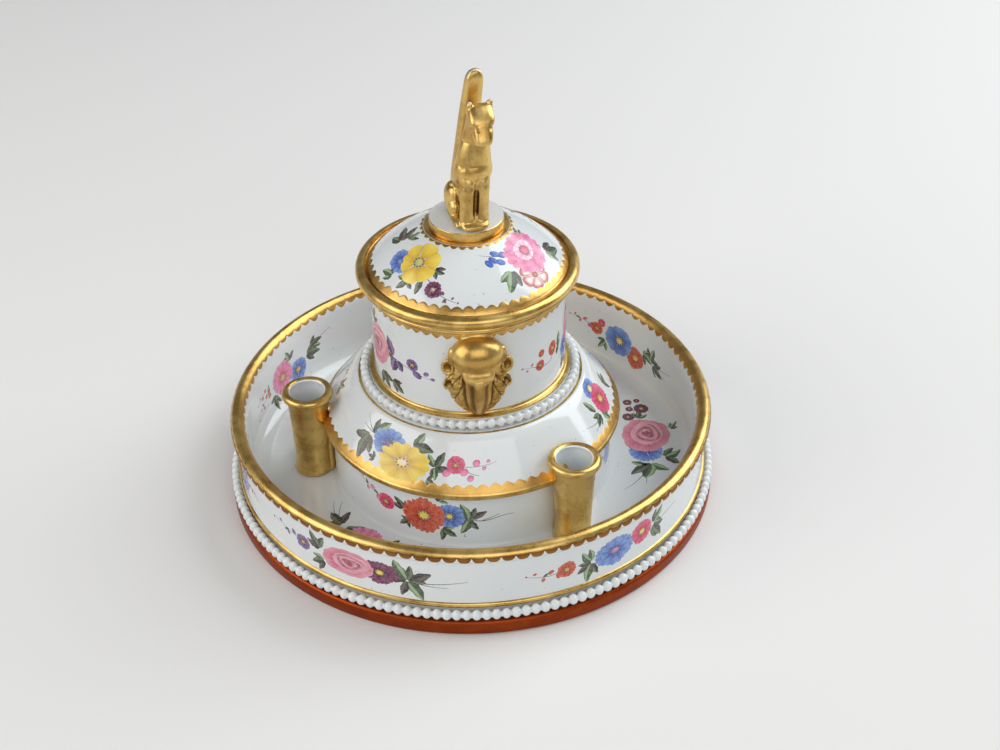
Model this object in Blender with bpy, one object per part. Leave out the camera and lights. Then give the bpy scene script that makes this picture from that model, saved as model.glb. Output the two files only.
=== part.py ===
# Desk inkstand in glazed porcelain: a round tray on a foot band, a drum with a sloping top in its
# middle, an inkpot with a lifting liner and cover, three quill tubes, and a seated cat as the knob.
# Sizes below are in millimetres. The model itself is in metres, +Z up, with its origin on the table
# under the middle of the foot.

import math

import bmesh
import bpy
from mathutils import Vector

MM = 0.001
SEAT = 0.3              # the thin layer of slip or air between two pieces that touch

# Foot band and tray
FOOT_INSET = 0.3        # how far the foot band stands in behind the pearls
FOOT_HEIGHT = 4.8
FOOT_WIDTH = 6.4
FOOT_EDGE = 0.8
CHANNEL_WIDTH = 26.2    # from the drum's wall to the tray's wall
TRAY_RIM_HEIGHT = 29.1
RIM_ROLL = 2.2
TRAY_WALL = 3.4
TRAY_WALL_INSET = 1.4   # how far the wall stands in behind the roll
FLOOR_TOP = 5.0
FLOOR_THICKNESS = 2.7
COVE = 5.5              # sweep from the tray's floor up into its wall
FLOOR_BEARING = 6.0     # how much of the floor lies under the drum's wall

# Drum in the middle of the tray
DRUM_RADIUS = 44.0
DRUM_WALL = 3.4
DRUM_EDGE_HEIGHT = 25.2
DRUM_EDGE_OVERHANG = 2.8
DRUM_EDGE_ROLL = 1.4
DRUM_TOP_HEIGHT = 39.6
DRUM_TOP_RADIUS = 35.4
DRUM_TOP_THICKNESS = 2.8

# Inkpot
POT_RADIUS = 29.3
POT_HEIGHT = 33.9       # from the foot plate's underside to the mouth
POT_WALL = 2.4
POT_FOOT_RADIUS = 31.0
POT_FOOT_HEIGHT = 3.0
POT_RIM_OVERHANG = 1.7
POT_RIM_DEPTH = 2.6
LEDGE_WIDTH = 1.5
LEDGE_BELOW_MOUTH = 8.8
LEDGE_THICKNESS = 1.6

# Liner that hangs on the ledge
LINER_WALL = 2.0
LINER_PLAY = 0.5
LINER_FLANGE = 1.6
LINER_DEPTH = 20.8
LINER_TAPER = 1.6

# Pearls, as a string of touching beads that are a little taller than wide
TRAY_PEARL = 3.0
TRAY_PEARL_HEIGHT = 3.4
TRAY_PEARL_PITCH = 2.84
POT_PEARL = 2.7
POT_PEARL_HEIGHT = 3.2
POT_PEARL_PITCH = 2.81
PEARL_WAIST = 0.66      # how far the string narrows between two beads

# Cover
COVER_ROLL = 1.9
COVER_ROLL_RADIUS = 33.2
DOME_RADIUS = 29.6
DOME_EDGE_RISE = 3.6    # from the seat up to the dome's edge
DOME_RISE = 12.2
DOME_TOP_RADIUS = 12.6
DOME_SWELL = 1.0
COVER_WALL = 2.6
COVER_PLAY = 0.6        # between the locating flange and the pot's mouth
COVER_FLANGE_DEPTH = 6.0
COVER_FLANGE_WALL = 2.3
DISC_RADIUS = 11.0
DISC_HEIGHT = 2.8
DISC_EDGE = 0.7

# Quill tubes
TUBE_COUNT = 3
TUBE_FIRST_AZIMUTH = 305.5
TUBE_RADIUS = 6.4
TUBE_BORE = 5.5
TUBE_LIP = 7.9
TUBE_LIP_ROLL = 1.4
TUBE_TOP = 35.6
TUBE_FLOOR = 2.0
SEAT_PAD_RADIUS = 6.7
SEAT_PAD_HEIGHT = 1.5
SEAT_WEB_WIDTH = 9.4
SEAT_WEB_TOP = 22.6

# Eagle-head masks on the pot, and the cat on the cover
MASK_AZIMUTHS = {"front": 274.0, "back": 94.0}
MASK_DRAWN = (20.0, 9.0, 27.0)  # the width, reach and height that a mask is drawn at
MASK_WIDTH = 20.0
MASK_HEIGHT = 27.0
MASK_LIFT = 17.1        # middle of the mask above the pot's foot
MASK_REACH = 9.0
MASK_CURLS = ((7.0, 9.6, 2.0), (8.3, 5.0, 2.2), (8.4, 0.0, 2.0))  # across, up and size of each curl
CAT_DRAWN = (11.0, 18.2, 36.0)  # the width, depth and height that the cat is drawn at
CAT_WIDTH = 11.0        # across the shoulders
CAT_DEPTH = 18.2        # paws to back
CAT_HEIGHT = 36.0       # paws to ear tips
CAT_TURN = 16.0         # degrees to the right, seen from the front
CAT_LEAN = 0.11         # sideways drift for each millimetre of height
CAT_OFFSET = 0.1
CAT_FORWARD = 1.0
TAIL_ABOVE_EARS = 7.2
TAIL_GAP = 0.4          # between the tail and the back it hugs

# Facets
TRAY_STEPS = 56
DRUM_STEPS = 54
POT_STEPS = 40
LINER_STEPS = 32
COVER_STEPS = 44
TUBE_STEPS = 14
DISC_STEPS = 24
PEARL_SIDES = 4

# Places that follow from the sizes above
TRAY_INSIDE = DRUM_RADIUS + CHANNEL_WIDTH
TRAY_OUTSIDE = TRAY_INSIDE + TRAY_WALL
TRAY_RIM_RADIUS = TRAY_OUTSIDE + TRAY_WALL_INSET
TRAY_PEARL_RING = TRAY_OUTSIDE + SEAT + TRAY_PEARL / 2
FOOT_RADIUS = TRAY_PEARL_RING + TRAY_PEARL / 2 - FOOT_INSET
BASE_OPENING = DRUM_RADIUS - FLOOR_BEARING
POT_BASE = DRUM_TOP_HEIGHT + SEAT
POT_MOUTH = POT_BASE + POT_HEIGHT
LEDGE_TOP = POT_MOUTH - LEDGE_BELOW_MOUTH
MOUTH_RADIUS = POT_RADIUS - POT_WALL
LEDGE_RADIUS = MOUTH_RADIUS - LEDGE_WIDTH
COVER_BASE = POT_MOUTH + SEAT
DISC_BASE = COVER_BASE + DOME_EDGE_RISE + DOME_RISE + SEAT
CAT_BASE = DISC_BASE + DISC_HEIGHT + SEAT
TUBE_AXIS = DRUM_RADIUS + SEAT + TUBE_RADIUS


def clear_scene():
    for item in list(bpy.data.objects):
        bpy.data.objects.remove(item, do_unlink=True)


def material(name, colour, roughness, metallic):
    """A plain Principled finish."""
    finish = bpy.data.materials.new(name)
    finish.use_nodes = True
    shader = finish.node_tree.nodes["Principled BSDF"]
    shader.inputs["Base Color"].default_value = (*colour, 1.0)
    shader.inputs["Roughness"].default_value = roughness
    shader.inputs["Metallic"].default_value = metallic
    finish.diffuse_color = (*colour, 1.0)
    return finish


def add_object(name, bm, finish, smooth_angle=40.0):
    """Turn a mesh in millimetres into a finished object in metres."""
    bmesh.ops.scale(bm, vec=(MM, MM, MM), verts=bm.verts)
    mesh = bpy.data.meshes.new(name)
    bm.to_mesh(mesh)
    bm.free()
    mesh.shade_smooth()
    mesh.set_sharp_from_angle(angle=math.radians(smooth_angle))
    piece = bpy.data.objects.new(name, mesh)
    bpy.context.scene.collection.objects.link(piece)
    if finish is not None:
        mesh.materials.append(finish)
    return piece


def arc(centre, radius, start, end, steps):
    """Points of a round stretch of a profile, as (radius, height), from start to end degrees."""
    points = []
    for i in range(steps + 1):
        angle = math.radians(start + (end - start) * i / steps)
        points.append((centre[0] + radius * math.cos(angle), centre[1] + radius * math.sin(angle)))
    return points


def turned(name, profile, steps, finish):
    """Spin a closed profile of (radius, height) points about the upright axis."""
    bm = bmesh.new()
    verts = [bm.verts.new((r, 0.0, z)) for r, z in profile]
    edges = [bm.edges.new((a, b)) for a, b in zip(verts, verts[1:])]
    if min(profile[0][0], profile[-1][0]) > 1e-6:
        edges.append(bm.edges.new((verts[-1], verts[0])))
    bmesh.ops.spin(
        bm, geom=verts + edges, cent=(0, 0, 0), axis=(0, 0, 1),
        angle=2 * math.pi, steps=steps, use_merge=True,
    )
    bmesh.ops.remove_doubles(bm, verts=bm.verts, dist=1e-4)
    bmesh.ops.recalc_face_normals(bm, faces=bm.faces)
    return add_object(name, bm, finish)


def cut(piece, cutter):
    """Take a hidden guide's shape out of a piece."""
    cutter.hide_render = True
    cutter.display_type = "WIRE"
    cutter.hide_set(True)
    modifier = piece.modifiers.new("cut_" + cutter.name, "BOOLEAN")
    modifier.operation = "DIFFERENCE"
    modifier.object = cutter
    modifier.solver = "EXACT"


def rod_cutter(name, radius, low, high, steps, place=(0.0, 0.0)):
    """An upright round guide that other pieces are cut by."""
    bm = bmesh.new()
    bmesh.ops.create_cone(
        bm, cap_ends=True, cap_tris=False, segments=steps,
        radius1=radius, radius2=radius, depth=high - low,
    )
    bmesh.ops.translate(bm, verts=bm.verts, vec=(place[0], place[1], (high + low) / 2))
    return add_object(name, bm, None)


def foot_band(finish):
    outer, inner = FOOT_RADIUS, FOOT_RADIUS - FOOT_WIDTH
    profile = [
        (outer - FOOT_EDGE, FOOT_HEIGHT), (outer, FOOT_HEIGHT - FOOT_EDGE), (outer, FOOT_EDGE),
        (outer - FOOT_EDGE, 0.0), (inner, 0.0), (inner, FOOT_HEIGHT),
    ]
    return turned("tray_foot_band", profile, TRAY_STEPS, finish)


def tray(finish):
    """Floor, coved wall and rolled rim; its floor drops inside the foot band."""
    centre = (TRAY_RIM_RADIUS - RIM_ROLL, TRAY_RIM_HEIGHT - RIM_ROLL)
    foot_inside = FOOT_RADIUS - FOOT_WIDTH - SEAT
    floor_under = FLOOR_TOP - FLOOR_THICKNESS
    roll = arc(centre, RIM_ROLL, 200.0, -60.0, 7)
    cove_middle = (TRAY_INSIDE - COVE, FLOOR_TOP + COVE)
    cove = arc(cove_middle, COVE, -80.0, -10.0, 3)
    profile = roll + [
        (TRAY_OUTSIDE, centre[1] - RIM_ROLL), (TRAY_OUTSIDE, FOOT_HEIGHT + SEAT),
        (foot_inside, FOOT_HEIGHT + SEAT), (foot_inside, floor_under),
        (BASE_OPENING, floor_under), (BASE_OPENING, FLOOR_TOP),
    ] + cove
    return turned("tray_dish", profile, TRAY_STEPS, finish)


def pearl_string(name, bead, bead_height, pitch, ring_radius, base, finish):
    """Touching beads round a circle, as one closed string that swells at each bead.

    The beads come in fours, so that the string is alike on all four sides.
    """
    count = 4 * round(2 * math.pi * ring_radius / pitch / 4)
    middle = base + bead_height / 2
    bm = bmesh.new()
    rings = []
    for i in range(2 * count):
        turn = math.pi * i / count
        half = bead / 2 * (1.0 if i % 2 == 0 else PEARL_WAIST)
        ring = []
        for k in range(PEARL_SIDES):
            angle = 2 * math.pi * (k + 0.5) / PEARL_SIDES
            reach = half / math.cos(math.pi / PEARL_SIDES)
            r = ring_radius + reach * math.cos(angle)
            ring.append(bm.verts.new((
                r * math.cos(turn), r * math.sin(turn),
                middle + reach * math.sin(angle) * bead_height / bead)))
        rings.append(ring)
    for a, b in zip(rings, rings[1:] + rings[:1]):
        for k in range(PEARL_SIDES):
            n = (k + 1) % PEARL_SIDES
            bm.faces.new((a[k], b[k], b[n], a[n]))
    bmesh.ops.recalc_face_normals(bm, faces=bm.faces)
    return add_object(name, bm, finish)


def platform(finish):
    """The hollow drum, open below, with a rolled edge and a sloping top."""
    inner = DRUM_RADIUS - DRUM_WALL
    edge = DRUM_RADIUS + DRUM_EDGE_OVERHANG
    roll_middle = (edge - DRUM_EDGE_ROLL, DRUM_EDGE_HEIGHT)
    plate = DRUM_TOP_HEIGHT - DRUM_TOP_THICKNESS
    profile = [(0.0, DRUM_TOP_HEIGHT), (DRUM_TOP_RADIUS, DRUM_TOP_HEIGHT)]
    profile += arc(roll_middle, DRUM_EDGE_ROLL, 50.0, -60.0, 3)
    profile += [
        (DRUM_RADIUS, DRUM_EDGE_HEIGHT - 2 * DRUM_EDGE_ROLL),
        (DRUM_RADIUS, FLOOR_TOP + SEAT), (inner, FLOOR_TOP + SEAT),
        (inner, DRUM_EDGE_HEIGHT), (DRUM_TOP_RADIUS - DRUM_TOP_THICKNESS, plate), (0.0, plate),
    ]
    drum = turned("platform", profile, DRUM_STEPS, finish)
    for i, place in enumerate(tube_places()):
        guide = rod_cutter(
            f"drum_notch_{i}", TUBE_RADIUS + SEAT, FLOOR_TOP - 1.0, DRUM_TOP_HEIGHT,
            TUBE_STEPS, place)
        cut(drum, guide)
    return drum


def tube_places():
    """Where the quill tubes stand, evenly spaced against the drum."""
    places = []
    for i in range(TUBE_COUNT):
        azimuth = math.radians(TUBE_FIRST_AZIMUTH - 360.0 * i / TUBE_COUNT)
        places.append((TUBE_AXIS * math.cos(azimuth), TUBE_AXIS * math.sin(azimuth)))
    return places


def quill_tubes(finish):
    """Upright tubes with a rolled lip, closed at the bottom."""
    base = FLOOR_TOP + SEAT + SEAT_PAD_HEIGHT + SEAT
    lip_middle = (TUBE_LIP - TUBE_LIP_ROLL, TUBE_TOP - TUBE_LIP_ROLL)
    profile = [(0.0, base + TUBE_FLOOR), (TUBE_BORE, base + TUBE_FLOOR)]
    profile += [(TUBE_BORE, TUBE_TOP - TUBE_LIP_ROLL)]
    profile += arc(lip_middle, TUBE_LIP_ROLL, 120.0, -70.0, 4)
    profile += [(TUBE_RADIUS, TUBE_TOP - 2.4 * TUBE_LIP_ROLL), (TUBE_RADIUS, base), (0.0, base)]
    tubes = []
    for name, place in zip(("right", "left", "rear"), tube_places()):
        tube = turned("quill_tube_" + name, profile, TUBE_STEPS, finish)
        tube.location = (place[0] * MM, place[1] * MM, 0.0)
        tubes.append(tube)
    return tubes


def tube_seats(finish):
    """Under each tube a round pad, and between tube and drum the two fillets of slip."""
    low = FLOOR_TOP + SEAT
    high = low + SEAT_PAD_HEIGHT
    drum_guide = rod_cutter(
        "drum_guide", DRUM_RADIUS + SEAT, FLOOR_TOP - 1.0, DRUM_TOP_HEIGHT, DRUM_STEPS)
    seats = []
    for name, place in zip(("right", "left", "rear"), tube_places()):
        bm = bmesh.new()
        bmesh.ops.create_cone(
            bm, cap_ends=True, cap_tris=False, segments=TUBE_STEPS,
            radius1=SEAT_PAD_RADIUS, radius2=SEAT_PAD_RADIUS - 0.4, depth=SEAT_PAD_HEIGHT)
        bmesh.ops.translate(bm, verts=bm.verts, vec=(0, 0, (low + high) / 2))
        seat = add_object("quill_tube_seat_" + name, bm, finish)
        web = bmesh.new()
        bmesh.ops.create_cube(web, size=1.0)
        web_size = (TUBE_RADIUS, SEAT_WEB_WIDTH, SEAT_WEB_TOP - low - 0.4)
        bmesh.ops.scale(web, vec=web_size, verts=web.verts)
        bmesh.ops.translate(
            web, verts=web.verts, vec=(-TUBE_RADIUS, 0.0, (SEAT_WEB_TOP + low + 0.4) / 2))
        web = add_object("web_" + name, web, None)
        for item in (seat, web):
            item.location = (place[0] * MM, place[1] * MM, 0.0)
            item.rotation_euler = (0.0, 0.0, math.atan2(place[1], place[0]))
        join = seat.modifiers.new("join_web", "BOOLEAN")
        join.operation = "UNION"
        join.object = web
        join.solver = "EXACT"
        web.hide_render = True
        web.display_type = "WIRE"
        web.hide_set(True)
        cut(seat, drum_guide)
        cut(seat, rod_cutter(
            "tube_guide_" + name, TUBE_RADIUS + SEAT, high, TUBE_TOP, TUBE_STEPS, place))
        seats.append(seat)
    return seats


def inkpot(finish):
    """Round pot with a foot plate, a rim moulding and a ledge inside for the liner."""
    base = POT_BASE
    foot_top = base + POT_FOOT_HEIGHT
    rim_low = POT_MOUTH - POT_RIM_DEPTH
    rim = POT_RADIUS + POT_RIM_OVERHANG
    inner_foot = MOUTH_RADIUS - 1.6
    profile = [
        (0.0, base), (POT_FOOT_RADIUS, base), (POT_FOOT_RADIUS, foot_top),
        (POT_RADIUS, foot_top + 0.9), (POT_RADIUS, rim_low),
        (rim, rim_low + 0.8), (rim, POT_MOUTH - 0.7), (rim - 0.7, POT_MOUTH),
        (MOUTH_RADIUS, POT_MOUTH), (MOUTH_RADIUS, LEDGE_TOP),
        (LEDGE_RADIUS, LEDGE_TOP), (LEDGE_RADIUS, LEDGE_TOP - LEDGE_THICKNESS),
        (MOUTH_RADIUS, LEDGE_TOP - LEDGE_THICKNESS - LEDGE_WIDTH),
        (MOUTH_RADIUS, foot_top + 1.6), (inner_foot, foot_top), (0.0, foot_top),
    ]
    return turned("inkpot_body", profile, POT_STEPS, finish)


def ink_liner(finish):
    """Plain cup that hangs by its flange on the pot's ledge."""
    under = LEDGE_TOP + SEAT
    top = under + LINER_FLANGE
    outer = LEDGE_RADIUS - LINER_PLAY
    base = under - LINER_DEPTH
    foot = outer - LINER_TAPER
    inner = outer - LINER_WALL
    inner_foot = foot - LINER_WALL
    profile = [
        (0.0, base), (foot - 1.2, base), (foot, base + 1.2), (outer, under),
        (MOUTH_RADIUS - LINER_PLAY, under), (MOUTH_RADIUS - LINER_PLAY, top),
        (inner, top), (inner_foot, base + LINER_WALL + 1.0),
        (inner_foot - 1.0, base + LINER_WALL), (0.0, base + LINER_WALL),
    ]
    return turned("ink_liner", profile, LINER_STEPS, finish)


def dome_curve(low, high, swell, steps):
    """Nearly straight slope from the dome's edge up to its top, with a slight swell."""
    points = []
    run = Vector((high[0] - low[0], high[1] - low[1]))
    out = Vector((-run.y, run.x)).normalized()
    if out.y < 0:
        out = -out
    for i in range(steps + 1):
        t = i / steps
        bulge = swell * 4 * t * (1 - t)
        spot = Vector(low) + run * t + out * bulge
        points.append((spot.x, spot.y))
    return points


def cover(finish):
    """Domed cover: rolled flange, hollow underside and a flange that finds the pot's mouth."""
    seat = COVER_BASE
    roll_middle = (COVER_ROLL_RADIUS - COVER_ROLL, seat + COVER_ROLL + 0.2)
    edge = (DOME_RADIUS, seat + DOME_EDGE_RISE)
    top = (DOME_TOP_RADIUS, edge[1] + DOME_RISE)
    flange_out = MOUTH_RADIUS - COVER_PLAY
    flange_in = flange_out - COVER_FLANGE_WALL
    inside_low = (flange_in, seat + 0.6)
    inside_top = (DOME_TOP_RADIUS - 1.4, top[1] - COVER_WALL)
    profile = [(0.0, top[1]), top]
    profile += dome_curve(edge, top, DOME_SWELL, 4)[::-1][1:]
    profile += [(DOME_RADIUS + 0.4, edge[1] - 0.9)]
    profile += arc(roll_middle, COVER_ROLL, 115.0, -80.0, 5)
    profile += [
        (flange_out, seat), (flange_out, seat - COVER_FLANGE_DEPTH),
        (flange_in, seat - COVER_FLANGE_DEPTH),
    ]
    profile += dome_curve(inside_low, inside_top, DOME_SWELL, 3)
    profile += [(0.0, inside_top[1] + 0.5)]
    return turned("cover", profile, COVER_STEPS, finish)


def finial_disc(finish):
    low, high = DISC_BASE, DISC_BASE + DISC_HEIGHT
    profile = [
        (0.0, low), (DISC_RADIUS - DISC_EDGE, low), (DISC_RADIUS, low + DISC_EDGE),
        (DISC_RADIUS, high - DISC_EDGE), (DISC_RADIUS - DISC_EDGE, high), (0.0, high),
    ]
    return turned("finial_disc", profile, DISC_STEPS, finish)


def add_ball(bm, centre, radii, place, steps=12):
    """An egg-shaped lump, put in place by the given function."""
    start = bmesh.ops.create_uvsphere(bm, u_segments=steps, v_segments=steps // 2 + 2, radius=1.0)
    for vert in start["verts"]:
        spot = [centre[i] + vert.co[i] * radii[i] for i in range(3)]
        vert.co = place(*spot)


def add_limb(bm, stations, place, sides=12, across=(1.0, 0.0, 0.0)):
    """A lump swept through stations of (centre, half across, half other way), closed at both ends.

    A centre is (side, front, height); each section lies square to the way the limb runs.
    """
    rings = []
    centres = [Vector(s[0]) for s in stations]
    side = Vector(across)
    for i, (centre, half_side, half_front) in enumerate(stations):
        ahead = centres[min(i + 1, len(centres) - 1)] - centres[max(i - 1, 0)]
        front = ahead.cross(side).normalized()
        ring = []
        for k in range(sides):
            angle = 2 * math.pi * k / sides
            spot = (Vector(centre) + side * half_side * math.cos(angle)
                    + front * half_front * math.sin(angle))
            ring.append(bm.verts.new(place(*spot)))
        rings.append(ring)
    for a, b in zip(rings, rings[1:]):
        for k in range(sides):
            n = (k + 1) % sides
            bm.faces.new((a[k], a[n], b[n], b[k]))
    bm.faces.new(rings[0])
    bm.faces.new(rings[-1])


def carved(name, bm, finish, grain, share):
    """Melt overlapping lumps into one modelled form, then take it down to a few facets."""
    bmesh.ops.recalc_face_normals(bm, faces=bm.faces)
    piece = add_object(name, bm, finish, 60.0)
    melt = piece.modifiers.new("melt", "REMESH")
    melt.mode = "VOXEL"
    melt.voxel_size = grain * MM
    melt.use_smooth_shade = True
    soften = piece.modifiers.new("soften", "SMOOTH")
    soften.factor = 0.5
    soften.iterations = 3
    thin = piece.modifiers.new("thin", "DECIMATE")
    thin.ratio = share
    return piece


def cat_place(side, front, height):
    """From the cat's own side, front and height to the stand: scaled, turned, leaning, on the disc."""
    side = side * CAT_WIDTH / CAT_DRAWN[0]
    front = front * CAT_DEPTH / CAT_DRAWN[1]
    height = height * CAT_HEIGHT / CAT_DRAWN[2]
    turn = math.radians(CAT_TURN)
    x = CAT_OFFSET + CAT_LEAN * height + side * math.cos(turn) + front * math.sin(turn)
    y = -front * math.cos(turn) + side * math.sin(turn) - CAT_FORWARD
    return Vector((x, y, CAT_BASE + height))


def cat_body(finish):
    """Chest, haunches, straight forelegs and the long hind feet."""
    body = bmesh.new()
    add_limb(body, [
        ((0, -2.8, 0.2), 3.6, 4.4), ((0, -2.7, 4.0), 4.5, 4.8), ((0, -1.6, 9.0), 4.7, 4.6),
        ((0, 0.1, 13.5), 5.0, 4.5), ((0, 1.0, 17.0), 5.5, 4.7), ((0, 0.8, 21.0), 4.7, 4.1),
        ((0, 0.7, 24.8), 3.9, 3.4),
    ], cat_place)
    for side, hip, foot_front, size in ((-1, 4.0, 6.8, 1.08), (1, 3.5, 3.4, 0.9)):
        add_ball(body, (side * hip, -2.6, 5.7 * size), (2.3 * size, 4.3 * size, 5.0 * size), cat_place)
        add_limb(body, [
            ((side * hip, -3.0, 1.2), 1.3, 1.0), ((side * hip, 0.6, 1.3), 1.5, 1.1),
            ((side * hip, foot_front, 1.1), 1.4, 0.9),
        ], cat_place)
        add_limb(body, [
            ((side * 1.9, 9.2, 1.1), 1.9, 0.9), ((side * 1.9, 7.0, 1.6), 2.3, 1.5),
            ((side * 1.9, 6.0, 3.8), 2.15, 2.1), ((side * 1.9, 5.0, 9.0), 2.1, 2.1),
            ((side * 2.2, 3.4, 14.5), 2.5, 2.5),
        ], cat_place)
    return carved("cat_body", body, finish, 0.5, 0.055)


def cat_head(finish):
    """Neck, broad brow sloping to a blunt muzzle, and two short ears."""
    head = bmesh.new()
    add_limb(head, [
        ((0, 0.6, 25.5), 3.5, 3.0), ((0, 0.8, 28.0), 3.5, 3.3), ((0, 1.0, 30.5), 3.4, 3.2),
        ((0, 0.8, 33.2), 3.0, 2.6),
    ], cat_place)
    add_ball(head, (0, 1.9, 31.5), (3.7, 3.4, 3.1), cat_place)
    add_limb(head, [
        ((0, 1.4, 32.8), 3.3, 1.8), ((0, 4.2, 31.2), 3.4, 2.4), ((0, 6.0, 28.9), 2.6, 2.3),
        ((0, 7.6, 27.2), 2.4, 2.0), ((0, 8.5, 26.2), 1.9, 1.3),
    ], cat_place)
    for side in (-1, 1):
        add_limb(head, [
            ((side * 2.4, 1.1, 32.9), 1.4, 1.2), ((side * 2.7, 0.9, 34.6), 1.1, 0.9),
            ((side * 2.85, 0.8, 36.0), 0.6, 0.5),
        ], cat_place)
    return carved("cat_head", head, finish, 0.4, 0.075)


def cat_tail(finish):
    """A thick tail that hugs the back and rises above the head to a round end."""
    rise = CAT_DRAWN[2] * (1.0 + TAIL_ABOVE_EARS / CAT_HEIGHT)
    gap = TAIL_GAP * CAT_DRAWN[1] / CAT_DEPTH
    tail = bmesh.new()
    add_limb(tail, [
        ((0, -9.4 - gap, 0.6), 1.6, 1.4), ((0, -9.4 - gap, 0.07 * rise), 2.3, 1.7),
        ((0, -8.6 - gap, 0.22 * rise), 2.9, 1.7), ((0, -6.6 - gap, 0.38 * rise), 3.2, 1.7),
        ((0, -5.6 - gap, 0.52 * rise), 3.1, 1.8), ((0, -5.4 - gap, 0.70 * rise), 2.9, 1.8),
        ((0, -5.1 - gap, 0.86 * rise), 2.7, 1.7), ((0, -4.9 - gap, 0.95 * rise), 2.4, 1.5),
        ((0, -4.8 - gap, rise), 1.2, 0.8),
    ], cat_place, 10)
    bmesh.ops.recalc_face_normals(tail, faces=tail.faces)
    return add_object("cat_tail", tail, finish, 60.0)


def eagle_masks(finish):
    """Eagle head that looks outward over a ruff of feathers, once for each side of the pot."""
    wall = POT_RADIUS
    trim = rod_cutter("pot_guide", wall + SEAT, POT_BASE, COVER_BASE, POT_STEPS)
    masks = []
    for name, azimuth in MASK_AZIMUTHS.items():
        middle = math.radians(azimuth)

        def on_pot(side, out, height):
            turn = middle + side * MASK_WIDTH / MASK_DRAWN[0] / wall
            r = wall + out * MASK_REACH / MASK_DRAWN[1]
            z = POT_BASE + MASK_LIFT + height * MASK_HEIGHT / MASK_DRAWN[2]
            return Vector((r * math.cos(turn), r * math.sin(turn), z))

        bm = bmesh.new()
        add_ball(bm, (0, 0.2, -1.0), (9.2, 2.3, 11.8), on_pot)
        add_ball(bm, (0, 2.0, 6.0), (7.2, 5.0, 6.6), on_pot)
        add_ball(bm, (0, 0.5, 11.6), (6.0, 1.7, 2.4), on_pot)
        add_limb(bm, [
            ((-4.9, 4.9, 2.4), 0.8, 0.8), ((0, 7.5, 3.6), 1.2, 1.2), ((4.9, 4.9, 2.4), 0.8, 0.8),
        ], on_pot, 8, (0.0, 1.0, 0.0))
        add_limb(bm, [
            ((0, 4.2, 5.0), 4.4, 2.6), ((0, 5.0, 2.4), 4.4, 2.7), ((0, 5.6, -1.0), 3.9, 2.6),
            ((0, 5.3, -4.6), 3.1, 2.2), ((0, 4.6, -8.0), 2.0, 1.6), ((0, 3.6, -10.2), 0.9, 1.0),
        ], on_pot, 10)
        add_ball(bm, (0, 2.2, -3.4), (4.3, 3.4, 6.2), on_pot)
        for flip in (-1, 1):
            for across, up, size in MASK_CURLS:
                add_ball(bm, (flip * across, 0.8, up), (size, 1.4, size), on_pot, 10)
        mask = carved("eagle_mask_" + name, bm, finish, 0.6, 0.055)
        cut(mask, trim)
        masks.append(mask)
    return masks


def build():
    clear_scene()
    porcelain = material("glazed_porcelain", (0.78, 0.80, 0.80), 0.12, 0.0)
    gilt = material("burnished_gilding", (0.68, 0.43, 0.12), 0.25, 1.0)
    copper = material("copper_red_band", (0.42, 0.11, 0.04), 0.35, 0.3)
    foot_band(copper)
    tray(porcelain)
    pearl_string("tray_pearls", TRAY_PEARL, TRAY_PEARL_HEIGHT, TRAY_PEARL_PITCH,
                 TRAY_PEARL_RING, FOOT_HEIGHT + SEAT, porcelain)
    platform(porcelain)
    quill_tubes(gilt)
    tube_seats(gilt)
    inkpot(porcelain)
    pearl_string("inkpot_pearls", POT_PEARL, POT_PEARL_HEIGHT, POT_PEARL_PITCH,
                 POT_FOOT_RADIUS + SEAT + POT_PEARL / 2, POT_BASE, porcelain)
    ink_liner(porcelain)
    cover(porcelain)
    finial_disc(porcelain)
    cat_body(gilt)
    cat_head(gilt)
    cat_tail(gilt)
    eagle_masks(gilt)


build()
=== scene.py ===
# %% [markdown]
# # A painted and gilded porcelain inkstand
# The construction model already holds every piece at its real size: tray, drum, inkpot, cover, quill
# tubes, masks and the seated cat. This lesson dresses it. Turned pieces are spun again from fine
# profiles, pearls and gilt teeth come from Geometry Nodes, the carved pieces are melted from simple
# lumps, and the flowers are laid on stroke by stroke, as a china painter would.

import math
import random

import bmesh
import bpy
import numpy as np
from mathutils import Matrix, Vector


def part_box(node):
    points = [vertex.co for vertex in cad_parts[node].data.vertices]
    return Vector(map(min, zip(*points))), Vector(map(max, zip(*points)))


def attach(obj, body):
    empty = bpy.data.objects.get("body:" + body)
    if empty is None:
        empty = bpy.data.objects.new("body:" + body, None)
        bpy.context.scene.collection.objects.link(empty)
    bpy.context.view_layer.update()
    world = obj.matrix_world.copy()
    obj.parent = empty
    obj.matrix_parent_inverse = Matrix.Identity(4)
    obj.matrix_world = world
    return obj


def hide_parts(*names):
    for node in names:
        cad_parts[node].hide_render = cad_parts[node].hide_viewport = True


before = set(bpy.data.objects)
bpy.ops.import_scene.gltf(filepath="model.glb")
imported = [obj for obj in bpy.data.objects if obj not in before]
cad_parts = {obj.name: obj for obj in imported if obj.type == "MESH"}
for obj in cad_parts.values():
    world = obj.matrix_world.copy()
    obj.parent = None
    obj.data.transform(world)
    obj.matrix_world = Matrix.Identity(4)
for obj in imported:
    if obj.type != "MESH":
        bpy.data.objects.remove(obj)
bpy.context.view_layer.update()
MM = 0.001


# %% [markdown]
# ## Measures taken from the frame
# Each dressed piece has to sit where its plain twin sits, so the main radii and heights are read
# from the frame's boxes, in millimetres. Only details that a box can't tell are typed here.

# %%
# Read radii and heights of the turned pieces
def span(node):
    """Lowest height, highest height and outer radius of a node that is round about the upright axis."""
    low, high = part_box(node)
    return low.z / MM, high.z / MM, (high.x - low.x) / 2 / MM


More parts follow.
